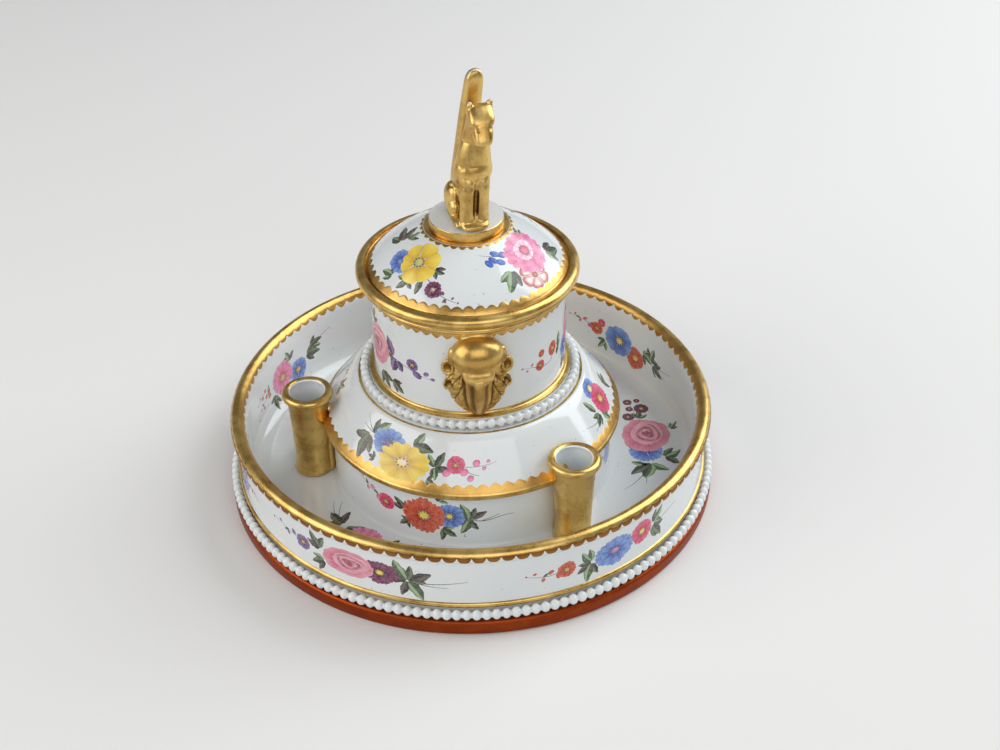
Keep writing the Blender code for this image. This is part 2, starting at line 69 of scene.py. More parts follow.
foot_low, foot_high, foot_radius = span("tray_foot_band")
tray_low, tray_high, tray_radius = span("tray_dish")
drum_low, drum_high, drum_edge = span("platform")
pot_low, pot_high, pot_rim = span("inkpot_body")
liner_low, liner_high, liner_flange = span("ink_liner")
cover_low, cover_high, cover_edge = span("cover")
disc_high, disc_radius = span("finial_disc")[1:]
print("tray", round(tray_radius, 1), "drum", round(drum_edge, 1), "pot", round(pot_rim, 1))


# %% [markdown]
# ## The camera
# The photograph was taken with a longish lens, from a spot 39 degrees over the table as seen from
# the inkstand's foot. The camera is placed by that spot and by two directions: the one it looks
# along and the one to its right.

# %%
# Place the camera
CAMERA_SPOT = (0.0, -0.3787, 0.3087)
CAMERA_AHEAD = Vector((0.0197, 0.8109, -0.5849)).normalized()
CAMERA_RIGHT = Vector((0.9995, -0.0313, -0.0098)).normalized()
SENSOR_WIDTH = 36.0
LENS = 54.0
NEAREST = 0.01


def place_camera():
    data = bpy.data.cameras.new("photo_camera")
    data.sensor_width = SENSOR_WIDTH
    data.lens = LENS
    data.clip_start = NEAREST
    camera = bpy.data.objects.new("photo_camera", data)
    bpy.context.scene.collection.objects.link(camera)
    up = CAMERA_RIGHT.cross(CAMERA_AHEAD)
    turn = Matrix((CAMERA_RIGHT, up, -CAMERA_AHEAD)).transposed()
    camera.matrix_world = Matrix.Translation(CAMERA_SPOT) @ turn.to_4x4()
    bpy.context.scene.camera = camera


place_camera()
print("camera at", CAMERA_SPOT)


# %% [markdown]
# ## Light and table
# Gold shows what is round it. One broad cool window stands to the right and behind, a softer warm
# light to the left and a third in front, and the world is a middle grey that leaves the gilding
# some dark to reflect.

# %%
# Lamps, world and floor
LAMPS_LOOK_AT = Vector((0.0, 0.0, 0.05))
WORLD_COLOUR = (0.62, 0.64, 0.67, 1.0)
WORLD_STRENGTH = 0.36
FLOOR_COLOUR = (0.80, 0.79, 0.77, 1.0)
FLOOR_ROUGHNESS = 0.9
FLOOR_HALF = 3.0


def area_lamp(name, spot, size, power, colour):
    data = bpy.data.lights.new(name, "AREA")
    data.shape = "RECTANGLE"
    data.size, data.size_y = size
    data.energy = power
    data.color = colour
    lamp = bpy.data.objects.new(name, data)
    bpy.context.scene.collection.objects.link(lamp)
    lamp.location = spot
    lamp.rotation_euler = (LAMPS_LOOK_AT - Vector(spot)).to_track_quat("-Z", "Y").to_euler()


area_lamp("window_right", (0.75, 0.35, 0.75), (0.9, 1.1), power=10.6, colour=(0.94, 0.98, 1.0))
area_lamp("soft_left", (-0.8, -0.25, 0.55), (0.9, 0.7), power=4.6, colour=(1.0, 0.97, 0.94))
area_lamp("soft_front", (0.15, -0.9, 0.7), (1.0, 0.7), power=3.5, colour=(1.0, 0.99, 0.98))

world = bpy.data.worlds.new("studio")
world.use_nodes = True
background = world.node_tree.nodes["Background"].inputs
background["Color"].default_value = WORLD_COLOUR
background["Strength"].default_value = WORLD_STRENGTH
bpy.context.scene.world = world
bpy.context.scene.view_settings.view_transform = "Standard"


def lay_floor():
    bm = bmesh.new()
    bmesh.ops.create_grid(bm, x_segments=1, y_segments=1, size=FLOOR_HALF)
    mesh = bpy.data.meshes.new("studio_floor")
    bm.to_mesh(mesh)
    bm.free()
    floor = bpy.data.objects.new("studio_floor", mesh)
    bpy.context.scene.collection.objects.link(floor)
    finish = bpy.data.materials.new("studio_paper")
    finish.use_nodes = True
    shader = finish.node_tree.nodes["Principled BSDF"].inputs
    shader["Base Color"].default_value = FLOOR_COLOUR
    shader["Roughness"].default_value = FLOOR_ROUGHNESS
    mesh.materials.append(finish)


lay_floor()


# %% [markdown]
# ## Wiring nodes by hand
# Shader trees and geometry trees share the same maths nodes. A small helper adds a node and feeds
# its inputs with numbers or links. Its sums and textures hand back their output, so that a rule
# reads like arithmetic.

# %%
# A helper that wires node trees
class Wires:
    """Adds nodes to one tree and feeds their inputs."""

    def __init__(self, tree):
        self.tree = tree

    def node(self, kind, feeds=None, **settings):
        made = self.tree.nodes.new(kind)
        for key, value in settings.items():
            setattr(made, key, value)
        self.feed_all(made.inputs, feeds or {})
        return made

    def feed(self, socket, value):
        if isinstance(value, bpy.types.NodeSocket):
            self.tree.links.new(value, socket)
        else:
            socket.default_value = value

    def feed_all(self, sockets, feeds):
        for label, value in feeds.items():
            self.feed(sockets[label], value)

    def math(self, operation, *values):
        made = self.node("ShaderNodeMath", dict(enumerate(values)), operation=operation)
        return made.outputs[0]

    def plus(self, first, second):
        return self.math("ADD", first, second)

    def less(self, first, second):
        return self.math("SUBTRACT", first, second)

    def times(self, first, second):
        return self.math("MULTIPLY", first, second)

    def mix(self, share, low, high):
        """Number between low and high."""
        return self.plus(low, self.times(share, self.less(high, low)))

    def blend(self, share, low, high):
        """Colour between low and high."""
        made = self.node("ShaderNodeMix", {0: share, 6: low, 7: high}, data_type="RGBA")
        return made.outputs[2]

    def steps(self, value, low, high):
        """0 at low, 1 at high, smooth between."""
        made = self.node("ShaderNodeMapRange", {0: value, 1: low, 2: high}, interpolation_type="SMOOTHSTEP")
        return made.outputs[0]

    def noise(self, place, scale, detail, roughness=0.5):
        made = self.node("ShaderNodeTexNoise", {
            "Vector": place, "Scale": scale, "Detail": detail, "Roughness": roughness})
        return made.outputs["Fac"]

    def attribute(self, name, output="Fac"):
        return self.node("ShaderNodeAttribute", attribute_name=name).outputs[output]

    def object_place(self):
        return self.node("ShaderNodeTexCoord").outputs["Object"]


def new_group(name, kind, inputs, outputs):
    """A node group with named sockets; returns it with its wires and its two end nodes."""
    group = bpy.data.node_groups.new(name, kind)
    for way, sockets in (("INPUT", inputs), ("OUTPUT", outputs)):
        for label, socket in sockets:
            group.interface.new_socket(name=label, in_out=way, socket_type="NodeSocket" + socket)
    wires = Wires(group)
    return group, wires, wires.node("NodeGroupInput").outputs, wires.node("NodeGroupOutput").inputs


print("node helpers ready")


# %% [markdown]
# ## The gilding
# Old burnished gold on porcelain is thin. It clouds over in patches, carries dark specks, and is rubbed
# through to the white here and there, most on the proud places that a piece marks as worn. Grooves pressed
# into a piece get a dark brown painted shade. One group makes these effects from Object coordinates and
# the marks on each piece, and each gilt finish sets its own amounts.

# %%
# Node group: the skin of old gilding
# The dark brown that goes into pressed grooves is painted shade.
SHADE_PAINTED_IN_HOLLOWS = (0.10, 0.040, 0.010, 1.0)
BROWN_OF_SPECKS = (0.14, 0.07, 0.02, 1.0)
BARE_CHINA = (0.74, 0.72, 0.68, 1.0)
CLOUD_SCALE = 160.0
GRAIN_SCALE = 1500.0
SPECK_SCALE = 2600.0
RUBBING_SCALE = 90.0


def make_gold_skin():
    group, w, given, out = new_group(
        "gold_skin", "ShaderNodeTree",
        [("Bright", "Color"), ("Deep", "Color"), ("Wear", "Float"), ("Worn Here", "Float"),
         ("Painted Hollow Shade", "Float"), ("Roughness", "Float"), ("Grain", "Float")],
        [("Colour", "Color"), ("Metal", "Float"), ("Roughness", "Float"), ("Height", "Float")])
    place = w.object_place()
    cloud = w.noise(place, CLOUD_SCALE, 4.0, 0.6)
    fine = w.noise(place, w.times(given["Grain"], GRAIN_SCALE), 3.0, 0.7)
    specks = w.noise(place, SPECK_SCALE, 1.0)
    # Clouds of deeper gold, then painted shade in the hollows, then dark specks.
    colour = w.blend(w.times(w.steps(cloud, 0.62, 0.36), 0.65), given["Bright"], given["Deep"])
    colour = w.blend(w.times(given["Painted Hollow Shade"], 0.8), colour, SHADE_PAINTED_IN_HOLLOWS)
    colour = w.blend(w.times(w.steps(specks, 0.68, 0.76), 0.6), colour, BROWN_OF_SPECKS)
    # The gold is rubbed through where a broad noise, broken up by the fine one, passes a limit.
    rubbed = w.times(w.noise(place, RUBBING_SCALE, 5.0, 0.65), w.plus(0.75, w.times(fine, 0.5)))
    limit = w.less(0.82, w.times(given["Wear"], 0.6))
    limit = w.less(limit, w.times(given["Worn Here"], 0.42))
    bare = w.steps(rubbed, limit, w.plus(limit, 0.03))
    rough = w.plus(given["Roughness"], w.times(w.less(cloud, 0.45), 0.30))
    rough = w.plus(rough, w.times(w.less(fine, 0.5), 0.12))
    height = w.plus(w.times(cloud, 0.6), w.times(fine, 0.25))
    w.feed_all(out, {
        "Colour": w.blend(bare, colour, BARE_CHINA),
        "Metal": w.less(1.0, w.times(bare, 0.85)),
        "Roughness": w.math("MAXIMUM", rough, 0.06),
        "Height": w.less(height, w.times(bare, 0.5))})
    return group


gold_skin = make_gold_skin()
print("group:", gold_skin.name, [s.name for s in gold_skin.interface.items_tree])


# %%
# Node group: the skin of the glaze
BROWN_OF_PINHOLES = (0.10, 0.08, 0.07, 1.0)
DRIFT_SCALE = 28.0
RIPPLE_SCALE = 120.0
DUST_SCALE = 900.0


def make_glaze_skin():
    group, w, given, out = new_group(
        "glaze_skin", "ShaderNodeTree",
        [("White", "Color"), ("Cool", "Color"), ("Specks", "Float"), ("Roughness", "Float")],
        [("Colour", "Color"), ("Roughness", "Float"), ("Height", "Float")])
    place = w.object_place()
    wide = w.noise(place, DRIFT_SCALE, 2.0)
    ripple = w.noise(place, RIPPLE_SCALE, 2.0)
    dust = w.noise(place, DUST_SCALE, 1.0)
    colour = w.blend(w.times(w.steps(wide, 0.35, 0.7), 0.45), given["White"], given["Cool"])
    pinholes = w.times(w.steps(dust, 0.765, 0.79), given["Specks"])
    w.feed_all(out, {
        "Colour": w.blend(pinholes, colour, BROWN_OF_PINHOLES),
        "Roughness": w.plus(given["Roughness"], w.times(wide, 0.05)),
        "Height": ripple})
    return group


glaze_skin = make_glaze_skin()
print("group:", glaze_skin.name)


# %% [markdown]
# ## Finishes
# The shader stays in the material; the groups only feed it. White glaze gets a clear coat, the
# pearls the same glaze a touch whiter and without pinholes. The painted teeth are a flatter gold,
# darkened under the tray's rim as painted shade, and the foot band is a dark red gilding that has
# gone matt, its red a painted reflection of red cloth. The flowers are an enamel that takes its
# colour from the painted strokes.

# %%
# Build the materials
ENAMEL_HAIRS = (0.80, 0.80, 0.78, 1.0)
HAIR_SCALE = 1800.0


def start_finish(name):
    """A material, its wires and the inputs of its shader."""
    finish = bpy.data.materials.new(name)
    finish.use_nodes = True
    return finish, Wires(finish.node_tree), finish.node_tree.nodes["Principled BSDF"].inputs


def add_bump(w, shader, height, strength, distance):
    bump = w.node("ShaderNodeBump", {"Strength": strength, "Distance": distance, "Height": height})
    w.feed(shader["Normal"], bump.outputs["Normal"])


def gilt_finish(name, bright, deep, wear, roughness, grain=1.0):
    finish, w, shader = start_finish(name)
    # Pressed grooves are darkened with painted shade, read from a mark that is set where they were pressed.
    skin = w.node("ShaderNodeGroup", {
        "Bright": (*bright, 1.0), "Deep": (*deep, 1.0), "Wear": wear, "Roughness": roughness,
        "Grain": grain, "Worn Here": w.attribute("worn"), "Painted Hollow Shade": w.attribute("painted_hollow_shade"),
    }, node_tree=gold_skin).outputs
    w.feed_all(shader, {
        "Base Color": skin["Colour"], "Metallic": skin["Metal"], "Roughness": skin["Roughness"]})
    add_bump(w, shader, skin["Height"], strength=0.35, distance=0.00012)
    return finish


def glaze_finish(name, white, cool, specks, roughness):
    finish, w, shader = start_finish(name)
    skin = w.node("ShaderNodeGroup", {
        "White": (*white, 1.0), "Cool": (*cool, 1.0), "Specks": specks, "Roughness": roughness,
    }, node_tree=glaze_skin).outputs
    w.feed_all(shader, {
        "Base Color": skin["Colour"], "Roughness": skin["Roughness"], "IOR": 1.5,
        "Coat Weight": 0.35, "Coat Roughness": 0.04})
    add_bump(w, shader, skin["Height"], strength=0.25, distance=0.00010)
    return finish


def enamel_finish(name):
    finish, w, shader = start_finish(name)
    hairs = w.noise(w.object_place(), HAIR_SCALE, 2.0)
    shade = w.blend(w.times(w.steps(hairs, 0.35, 0.7), 0.14), w.attribute("paint", "Color"), ENAMEL_HAIRS)
    w.feed_all(shader, {
        "Base Color": shade, "Roughness": w.plus(0.14, w.times(hairs, 0.12)),
        "Coat Weight": 0.2, "Coat Roughness": 0.08})
    add_bump(w, shader, hairs, strength=0.2, distance=0.00005)
    return finish


FINISH = {
    "glaze": glaze_finish("white_glaze", (0.78, 0.81, 0.81), (0.71, 0.76, 0.78),
                          specks=0.5, roughness=0.08),
    "pearl": glaze_finish("pearl_glaze", (0.80, 0.83, 0.83), (0.70, 0.76, 0.78),
                          specks=0.0, roughness=0.12),
    "gold": gilt_finish("burnished_gold", (0.79, 0.545, 0.185), (0.46, 0.25, 0.055),
                        wear=0.10, roughness=0.29),
    "cast": gilt_finish("modelled_gold", (0.78, 0.535, 0.18), (0.42, 0.22, 0.045),
                        wear=0.14, roughness=0.32),
    "teeth": gilt_finish("flat_gilding", (0.68, 0.42, 0.125), (0.45, 0.24, 0.06),
                         wear=0.06, roughness=0.32, grain=1.4),
    # The teeth under the tray's rim are a dark brown gold: painted shade.
    "painted_shade_teeth": gilt_finish("gilding_in_painted_shade", (0.33, 0.145, 0.04), (0.20, 0.075, 0.02),
                           wear=0.05, roughness=0.34, grain=1.4),
    # The foot band's dark red is a painted reflection of red cloth on its gold.
    "copper": gilt_finish("gilding_with_painted_red_reflection", (0.36, 0.062, 0.013), (0.25, 0.038, 0.009),
                          wear=0.04, roughness=0.42),
    "enamel": enamel_finish("flower_enamel"),
}
print("finishes:", sorted(FINISH))


# %% [markdown]
# ## Turned pieces
# A potter's profile spun about the upright axis makes every round piece. The profile is closed, and
# it is written as runs: each run is one finish and the points it covers, so glaze and gold meet
# exactly on a ring of edges.

# %%
# Spin a profile into a piece
AXIS = 1e-6
SAME_POINT = 1e-5
SHARP_ANGLE = 34.0


def arc(centre, radius, start, end, steps):
    """Points of a round stretch of a profile, from start to end degrees."""
    points = []
    for i in range(steps + 1):
        angle = math.radians(start + (end - start) * i / steps)
        points.append((centre[0] + radius * math.cos(angle), centre[1] + radius * math.sin(angle)))
    return points


def on_arc(centre, radius, angle):
    """One point of a round stretch."""
    return arc(centre, radius, angle, angle, 1)[0]


def bow(start, end, swell, steps):
    """Points of a slightly bowed stretch; a positive swell pushes it up and out."""
    start, end = Vector(start), Vector(end)
    run = end - start
    out = Vector((-run.y, run.x)).normalized()
    if out.y < 0 or (abs(out.y) < AXIS and out.x < 0):
        out = -out
    points = []
    for i in range(steps + 1):
        t = i / steps
        spot = start + run * t + out * swell * 4 * t * (1 - t)
        points.append((spot.x, spot.y))
    return points


def finished(name, mesh, body, nodes=()):
    """Link a mesh made in place, hang it on its body and hide the nodes that it replaces."""
    piece = bpy.data.objects.new(name, mesh)
    bpy.context.scene.collection.objects.link(piece)
    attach(piece, body)
    if nodes:
        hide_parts(*nodes)


def spun_mesh(name, runs, steps, place):
    """Mesh of a closed profile, given as runs of (finish, points), spun about an upright axis."""
    points, kinds = [], []
    for kind, stretch in runs:
        for point in stretch:
            if points and math.dist(points[-1], point) < SAME_POINT:
                continue
            points.append(point)
            kinds.append(kind)
    names = sorted(set(kinds))
    bm = bmesh.new()
    rings = []
    for r, z in points:
        if r < AXIS:
            rings.append([bm.verts.new((place[0] * MM, place[1] * MM, z * MM))] * steps)
            continue
        ring = []
        for k in range(steps):
            turn = 2 * math.pi * k / steps
            ring.append(bm.verts.new((
                (place[0] + r * math.cos(turn)) * MM, (place[1] + r * math.sin(turn)) * MM, z * MM)))
        rings.append(ring)
    for i in range(len(points)):
        j = (i + 1) % len(points)
        a, b = rings[i], rings[j]
        if points[i][0] < AXIS and points[j][0] < AXIS:
            continue
        for k in range(steps):
            n = (k + 1) % steps
            corners = list(dict.fromkeys((a[k], a[n], b[n], b[k])))
            face = bm.faces.new(corners)
            face.material_index = names.index(kinds[j] if kinds[i] != kinds[j] else kinds[i])
    bmesh.ops.recalc_face_normals(bm, faces=bm.faces)
    mesh = bpy.data.meshes.new(name)
    bm.to_mesh(mesh)
    bm.free()
    for kind in names:
        mesh.materials.append(FINISH[kind])
    mesh.shade_smooth()
    mesh.set_sharp_from_angle(angle=math.radians(SHARP_ANGLE))
    return mesh


def spun(name, node, body, runs, steps, place=(0.0, 0.0)):
    """Spin a profile and hand it over in place of one node."""
    mesh = spun_mesh(name, runs, steps, place)
    finished(name, mesh, body, [node])
    print(name, len(mesh.polygons), "faces")


# %% [markdown]
# ## Foot band and tray
# The foot is a plain ring with soft edges, gilt in a dark red that is a painted reflection of red
# cloth. The tray's floor sweeps up through a cove into an upright wall that ends in a fat gilt roll;
# outside, a thin gilt fillet runs over the pearls. Places on the roll are degrees, 0 straight out and
# 90 on top. Its gold runs from the crest, just inside the top, to where the painted teeth take over.
# Inside, a slightly bowed flank drops from the crest to the wall.

# %%
# Turn the foot band and the tray
FOOT_WIDTH = 6.4
RIM_ROLL = 2.2
WALL_INSET = 1.4
WALL = 3.4
FLOOR_THICKNESS = 2.7
COVE = 5.5
FLOOR_OPENING = 38.0
FLOOR_MIDDLE = 60.0
FILLET_TOP = 5.0
FILLET_FOOT = 3.1
WALL_HOLLOW = 0.25
WALL_PARTS = 8
CREST = 100
FLANK_DROP = 3.2
FLANK_SWELL = 0.48
TEETH_START = 20
TEETH_END = -48
TEETH_OVERLAP = 12

foot_inner = foot_radius - FOOT_WIDTH
# The foot band is gilt in dark red, a painted reflection of red cloth.
spun("foot_band", "tray_foot_band", "stand", [
    ("copper", arc((foot_radius - 1.2, foot_high - 1.2), 1.2, 90, 0, 6)
     + arc((foot_radius - 1.0, foot_low + 1.0), 1.0, 0, -90, 5)
     + [(foot_inner + 0.6, foot_low), (foot_inner, foot_low + 0.6), (foot_inner, foot_high)]),
], steps=256)

wall_out = tray_radius - WALL_INSET
wall_in = wall_out - WALL
floor_top = tray_low + FLOOR_THICKNESS
roll_middle = (tray_radius - RIM_ROLL, tray_high - RIM_ROLL)
fillet_high = foot_high + FILLET_TOP
fillet_low = foot_high + FILLET_FOOT
fillet_middle = (wall_out - WALL_HOLLOW, (fillet_high + fillet_low) / 2)
wall_top = roll_middle[1] - RIM_ROLL + 0.2
wall_rise = wall_top - 0.4 - fillet_high
outer_line = [(wall_out - WALL_HOLLOW * math.sin(math.pi * i / WALL_PARTS),
               fillet_high + wall_rise * i / WALL_PARTS) for i in range(WALL_PARTS + 1)]
crest_end = on_arc(roll_middle, RIM_ROLL, CREST)
flank_foot = (wall_in + 0.2, crest_end[1] - FLANK_DROP)
inner_line = ([(FLOOR_MIDDLE, floor_top)]
              + arc((wall_in - COVE, floor_top + COVE), COVE, -90, 0, 12)
              + [(wall_in + 0.05, flank_foot[1] - 4.0), (wall_in + 0.08, flank_foot[1] - 0.5)])
flank_way = (Vector(flank_foot) - Vector(crest_end)).normalized()
flank_out = Vector((flank_way.y, -flank_way.x))


def on_flank(share):
    """A point of the bowed flank, from its foot at 0 to the crest at 1."""
    spot = Vector(flank_foot).lerp(Vector(crest_end), share)
    return tuple(spot + flank_out * FLANK_SWELL * 4 * share * (1 - share))


spun("tray", "tray_dish", "stand", [
    ("gold", arc(roll_middle, RIM_ROLL, CREST, TEETH_START, 18)),
    ("glaze", arc(roll_middle, RIM_ROLL, TEETH_START, -62, 14)[1:]
     + [(wall_out + 0.05, wall_top - 0.2)] + outer_line[::-1]),
    ("gold", arc(fillet_middle, (fillet_high - fillet_low) / 2, 74, -74, 8)),
    ("glaze", [(wall_out, fillet_low), (wall_out, foot_high + 0.3), (foot_inner - 0.3, foot_high + 0.3),
               (foot_inner - 0.3, tray_low + 0.5), (foot_inner - 0.8, tray_low),
               (FLOOR_OPENING + 0.8, tray_low), (FLOOR_OPENING, tray_low + 0.8),
               (FLOOR_OPENING, floor_top)]
     + inner_line + [flank_foot] + [on_flank(share) for share in (0.2, 0.4, 0.6, 0.8)]),
], steps=288)


# %% [markdown]
# ## Drum, inkpot and liner
# The drum is hollow and open below. Its top slopes up to the pot, between a gilt roll at its edge
# and a fine gilt line. The pot has a gilt foot and a gilt moulding at its mouth; its liner hangs on
# a ledge inside.

# %%
# Turn the drum, the pot and the liner
DRUM_RADIUS = 44.0
DRUM_WALL = 3.4
DRUM_ROLL = 1.4
DRUM_ROLL_HEIGHT = 25.2
SLOPE_START = 48
DRUM_TOP = 35.4
GILT_LINE = 33.8
GILT_LINE_WIDTH = 0.8
PLATE = 2.8
POT_RADIUS = 29.3
POT_WALL = 2.4
LEDGE = 1.5
LEDGE_DEPTH = 8.8
LINER_PLAY = 0.5
POT_FOOT = 31.0
POT_COVE = 0.9

edge_middle = (drum_edge - DRUM_ROLL, DRUM_ROLL_HEIGHT)
edge_end = on_arc(edge_middle, DRUM_ROLL, SLOPE_START)
slope = Vector((DRUM_TOP, drum_high)) - Vector(edge_end)


def on_slope(share):
    """A point of the drum's slope, from its gilt edge at 0 to the top at 1."""
    return tuple(Vector(edge_end) + slope * share)


slope_end = on_slope(0.97)
spun("drum", "platform", "stand", [
    ("glaze", [(0.0, drum_high), (GILT_LINE, drum_high)]),
    ("gold", [(GILT_LINE + 0.4, drum_high), (GILT_LINE + GILT_LINE_WIDTH, drum_high)]),
    ("glaze", [(DRUM_TOP - 0.4, drum_high - 0.02), slope_end]
     + [on_slope(share) for share in (0.8, 0.5, 0.2, 0.13)]),
    ("gold", arc(edge_middle, DRUM_ROLL, SLOPE_START, -85, 16)),
    ("glaze", [(DRUM_RADIUS + 0.5, DRUM_ROLL_HEIGHT - DRUM_ROLL - 0.1),
               (DRUM_RADIUS, DRUM_ROLL_HEIGHT - DRUM_ROLL - 0.6), (DRUM_RADIUS, drum_low + 0.8),
               (DRUM_RADIUS + 0.4, drum_low + 0.1), (DRUM_RADIUS + 0.9, floor_top - 0.05),
               (DRUM_RADIUS - DRUM_WALL, floor_top - 0.05),
               (DRUM_RADIUS - DRUM_WALL, drum_low), (DRUM_RADIUS - DRUM_WALL, DRUM_ROLL_HEIGHT),
               (DRUM_TOP - PLATE, drum_high - PLATE), (0.0, drum_high - PLATE)]),
], steps=240)

mouth = POT_RADIUS - POT_WALL
ledge_top = pot_high - LEDGE_DEPTH
moulding = (pot_rim - 1.0, pot_high - 1.25)
spun("pot", "inkpot_body", "stand", [
    ("glaze", [(0.0, pot_low), (POT_FOOT - 0.3, pot_low), (POT_FOOT, pot_low + 0.3),
               (POT_FOOT, pot_low + 2.5)]),
    ("gold", [(POT_FOOT - 0.2, pot_low + 2.9), (POT_FOOT - 0.6, pot_low + 3.0)]
     + arc((POT_RADIUS + POT_COVE, pot_low + 3.0 + POT_COVE), POT_COVE, -90, -180, 6)),
    ("glaze", [(POT_RADIUS, pot_low + 4.1), (POT_RADIUS, pot_low + 16.0), (POT_RADIUS, pot_high - 3.0)]),
    ("gold", [(POT_RADIUS + 0.1, pot_high - 2.7)] + arc(moulding, 1.0, -60, 80, 12)
     + [(moulding[0] - 0.6, pot_high), (mouth + 0.5, pot_high)]),
    ("glaze", [(mouth, pot_high - 0.5), (mouth, ledge_top), (mouth - LEDGE, ledge_top),
               (mouth - LEDGE, ledge_top - 1.6), (mouth, ledge_top - 3.1), (mouth, pot_low + 4.6),
               (mouth - 1.6, pot_low + 3.0), (0.0, pot_low + 3.0)]),
], steps=192)

liner_top = mouth - LEDGE - LINER_PLAY
spun("liner_cup", "ink_liner", "liner", [
    ("glaze", [(0.0, liner_low), (liner_top - 2.8, liner_low), (liner_top - 1.6, liner_low + 1.2),
               (liner_top, liner_high - 1.6), (liner_flange - 0.3, liner_high - 1.6),
               (liner_flange, liner_high - 1.3), (liner_flange, liner_high - 0.4),
               (liner_flange - 0.4, liner_high), (liner_top - 1.7, liner_high),
               (liner_top - 2.0, liner_high - 0.4), (liner_top - 3.6, liner_low + 3.2),
               (liner_top - 4.8, liner_low + 2.0), (0.0, liner_low + 2.0)]),
], steps=128)


# %% [markdown]
# ## Cover and disc
# From the pot's mouth up: a flange that drops inside, a flat seat, the heavy gilt roll, a groove,
# and a dome that is almost a cone. On top sits a small white disc with a gilt side, the plinth for
# the cat.

# %%
# Turn the cover and its disc
COVER_ROLL = 1.9
DOME_EDGE = 29.6
DOME_EDGE_RISE = 3.6
DOME_TOP = 12.6
DOME_SWELL = 1.0
COVER_SEAT_ABOVE_FLANGE = 6.0
FLANGE_PLAY = 0.6
FLANGE_WALL = 2.3
COVER_WALL = 2.1
DISC_SUNK = 0.02

cover_seat = cover_low + COVER_SEAT_ABOVE_FLANGE
cover_roll_middle = (cover_edge - COVER_ROLL, cover_seat + COVER_ROLL + 0.2)
dome_edge = (DOME_EDGE, cover_seat + DOME_EDGE_RISE)
dome_top = (DOME_TOP, cover_high)
dome_line = bow(dome_edge, dome_top, DOME_SWELL, 14)
flange_out = mouth - FLANGE_PLAY
flange_in = flange_out - FLANGE_WALL
spun("cover_dome", "cover", "lid", [
    ("glaze", [(0.0, cover_high)]),
    ("gold", [(DOME_TOP - 1.6, cover_high), dome_top]),
    ("glaze", dome_line[:0:-1]),
    ("gold", [dome_edge, (DOME_EDGE + 0.25, dome_edge[1] - 0.35), (DOME_EDGE + 0.35, dome_edge[1] - 0.8)]
     + arc((DOME_EDGE + 0.75, dome_edge[1] - 0.75), 0.35, 200, 330, 5)
     + arc(cover_roll_middle, COVER_ROLL, 112, -82, 24)),
    ("glaze", [(cover_roll_middle[0] - 1.2, cover_seat), (flange_out + 0.2, cover_seat),
               (flange_out, cover_seat - 0.3), (flange_out, cover_low + 0.4),
               (flange_out - 0.4, cover_low), (flange_in + 0.4, cover_low), (flange_in, cover_low + 0.4)]
     + bow((flange_in, cover_seat + 0.6), (DOME_TOP - 1.4, cover_high - 2.6), DOME_SWELL, 8)
     + [(0.0, cover_high - COVER_WALL)]),
], steps=224)

disc_foot = cover_high - DISC_SUNK
disc_edge = (disc_radius - 0.5, disc_high - 0.5)
spun("disc", "finial_disc", "lid", [
    ("gold", [(0.0, disc_foot), (disc_radius - 0.3, disc_foot), (disc_radius, cover_high + 0.3)]
     + arc(disc_edge, 0.5, 0, 60, 4)),
    ("glaze", arc(disc_edge, 0.5, 60, 90, 2)[1:] + [(0.0, disc_high)]),
], steps=128)


# %% [markdown]
# ## Quill tubes
# Three plain tubes with a rolled lip, gilt outside and over the lip, white within. The places come
# from the frame.

# %%
# Turn the three quill tubes
TUBE_RADIUS = 6.4
TUBE_FOOT_RADIUS = 5.45
TUBE_BORE = 5.5
TUBE_BORE_BOTTOM = 4.9
TUBE_LIP = 1.4
TUBE_LIP_RADIUS = 7.9
TUBE_FLOOR = 2.0
TUBES = ("left", "right", "rear")


def tube_place(node):
    """The middle of an upright tube, in millimetres."""
    low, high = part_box(node)
    return (low.x + high.x) / 2 / MM, (low.y + high.y) / 2 / MM


def quill_tube(side):
    """One tube: white inside, gilt from its lip down."""
    node = "quill_tube_" + side
    low, high, _ = span(node)
    middle = (TUBE_LIP_RADIUS - TUBE_LIP, high - TUBE_LIP)
    spun("tube_" + side, node, "stand", [
        ("glaze", [(0.0, low + TUBE_FLOOR), (TUBE_BORE_BOTTOM - 0.5, low + TUBE_FLOOR),
                   (TUBE_BORE_BOTTOM, low + TUBE_FLOOR + 0.5), (TUBE_BORE, high - 2.4),
                   (TUBE_BORE, high - 1.3)] + arc(middle, TUBE_LIP, 150, 128, 2)),
        ("gold", arc(middle, TUBE_LIP, 120, -75, 14)
         + [(TUBE_RADIUS + 0.08, high - 3.1), (TUBE_RADIUS, high - 3.8), (TUBE_RADIUS - 0.3, high - 9.0),
            (TUBE_FOOT_RADIUS + 0.05, low + 6.0), (TUBE_FOOT_RADIUS, low + 2.5),
            (TUBE_FOOT_RADIUS + 0.4, low), (0.0, low)]),
    ], steps=72, place=tube_place(node))


for side in TUBES:
    quill_tube(side)


# %% [markdown]
# ## Pearls
# Each string is one rule: so many beads round a circle, every bead a little different, joined by a
# thin core. That is work for Geometry Nodes: a circle of points, a bead on each, realized at the
# end.

# %%
# Geometry Nodes: a string of pearls
def run_tree(tree, name, values):
    """Run a geometry tree on an empty mesh and hand back the plain mesh that it makes."""
    host = bpy.data.objects.new(name + "_host", bpy.data.meshes.new(name + "_host"))
    bpy.context.scene.collection.objects.link(host)
    modifier = host.modifiers.new("tree", "NODES")
    modifier.node_group = tree
    for item in tree.interface.items_tree:
        if item.item_type == "SOCKET" and item.in_out == "INPUT" and item.name in values:
            modifier[item.identifier] = values[item.name]
    ready = bpy.context.evaluated_depsgraph_get()
    mesh = bpy.data.meshes.new_from_object(host.evaluated_get(ready), depsgraph=ready)
    mesh.name = name
    bpy.data.objects.remove(host)
    return mesh


BEAD_SEGMENTS, BEAD_RINGS = 14, 9
BEAD_SMALLEST, BEAD_LARGEST = 0.94, 1.03
CORE_SHARE = 0.3
CORE_SIDES = 8
WELD = 1e-7


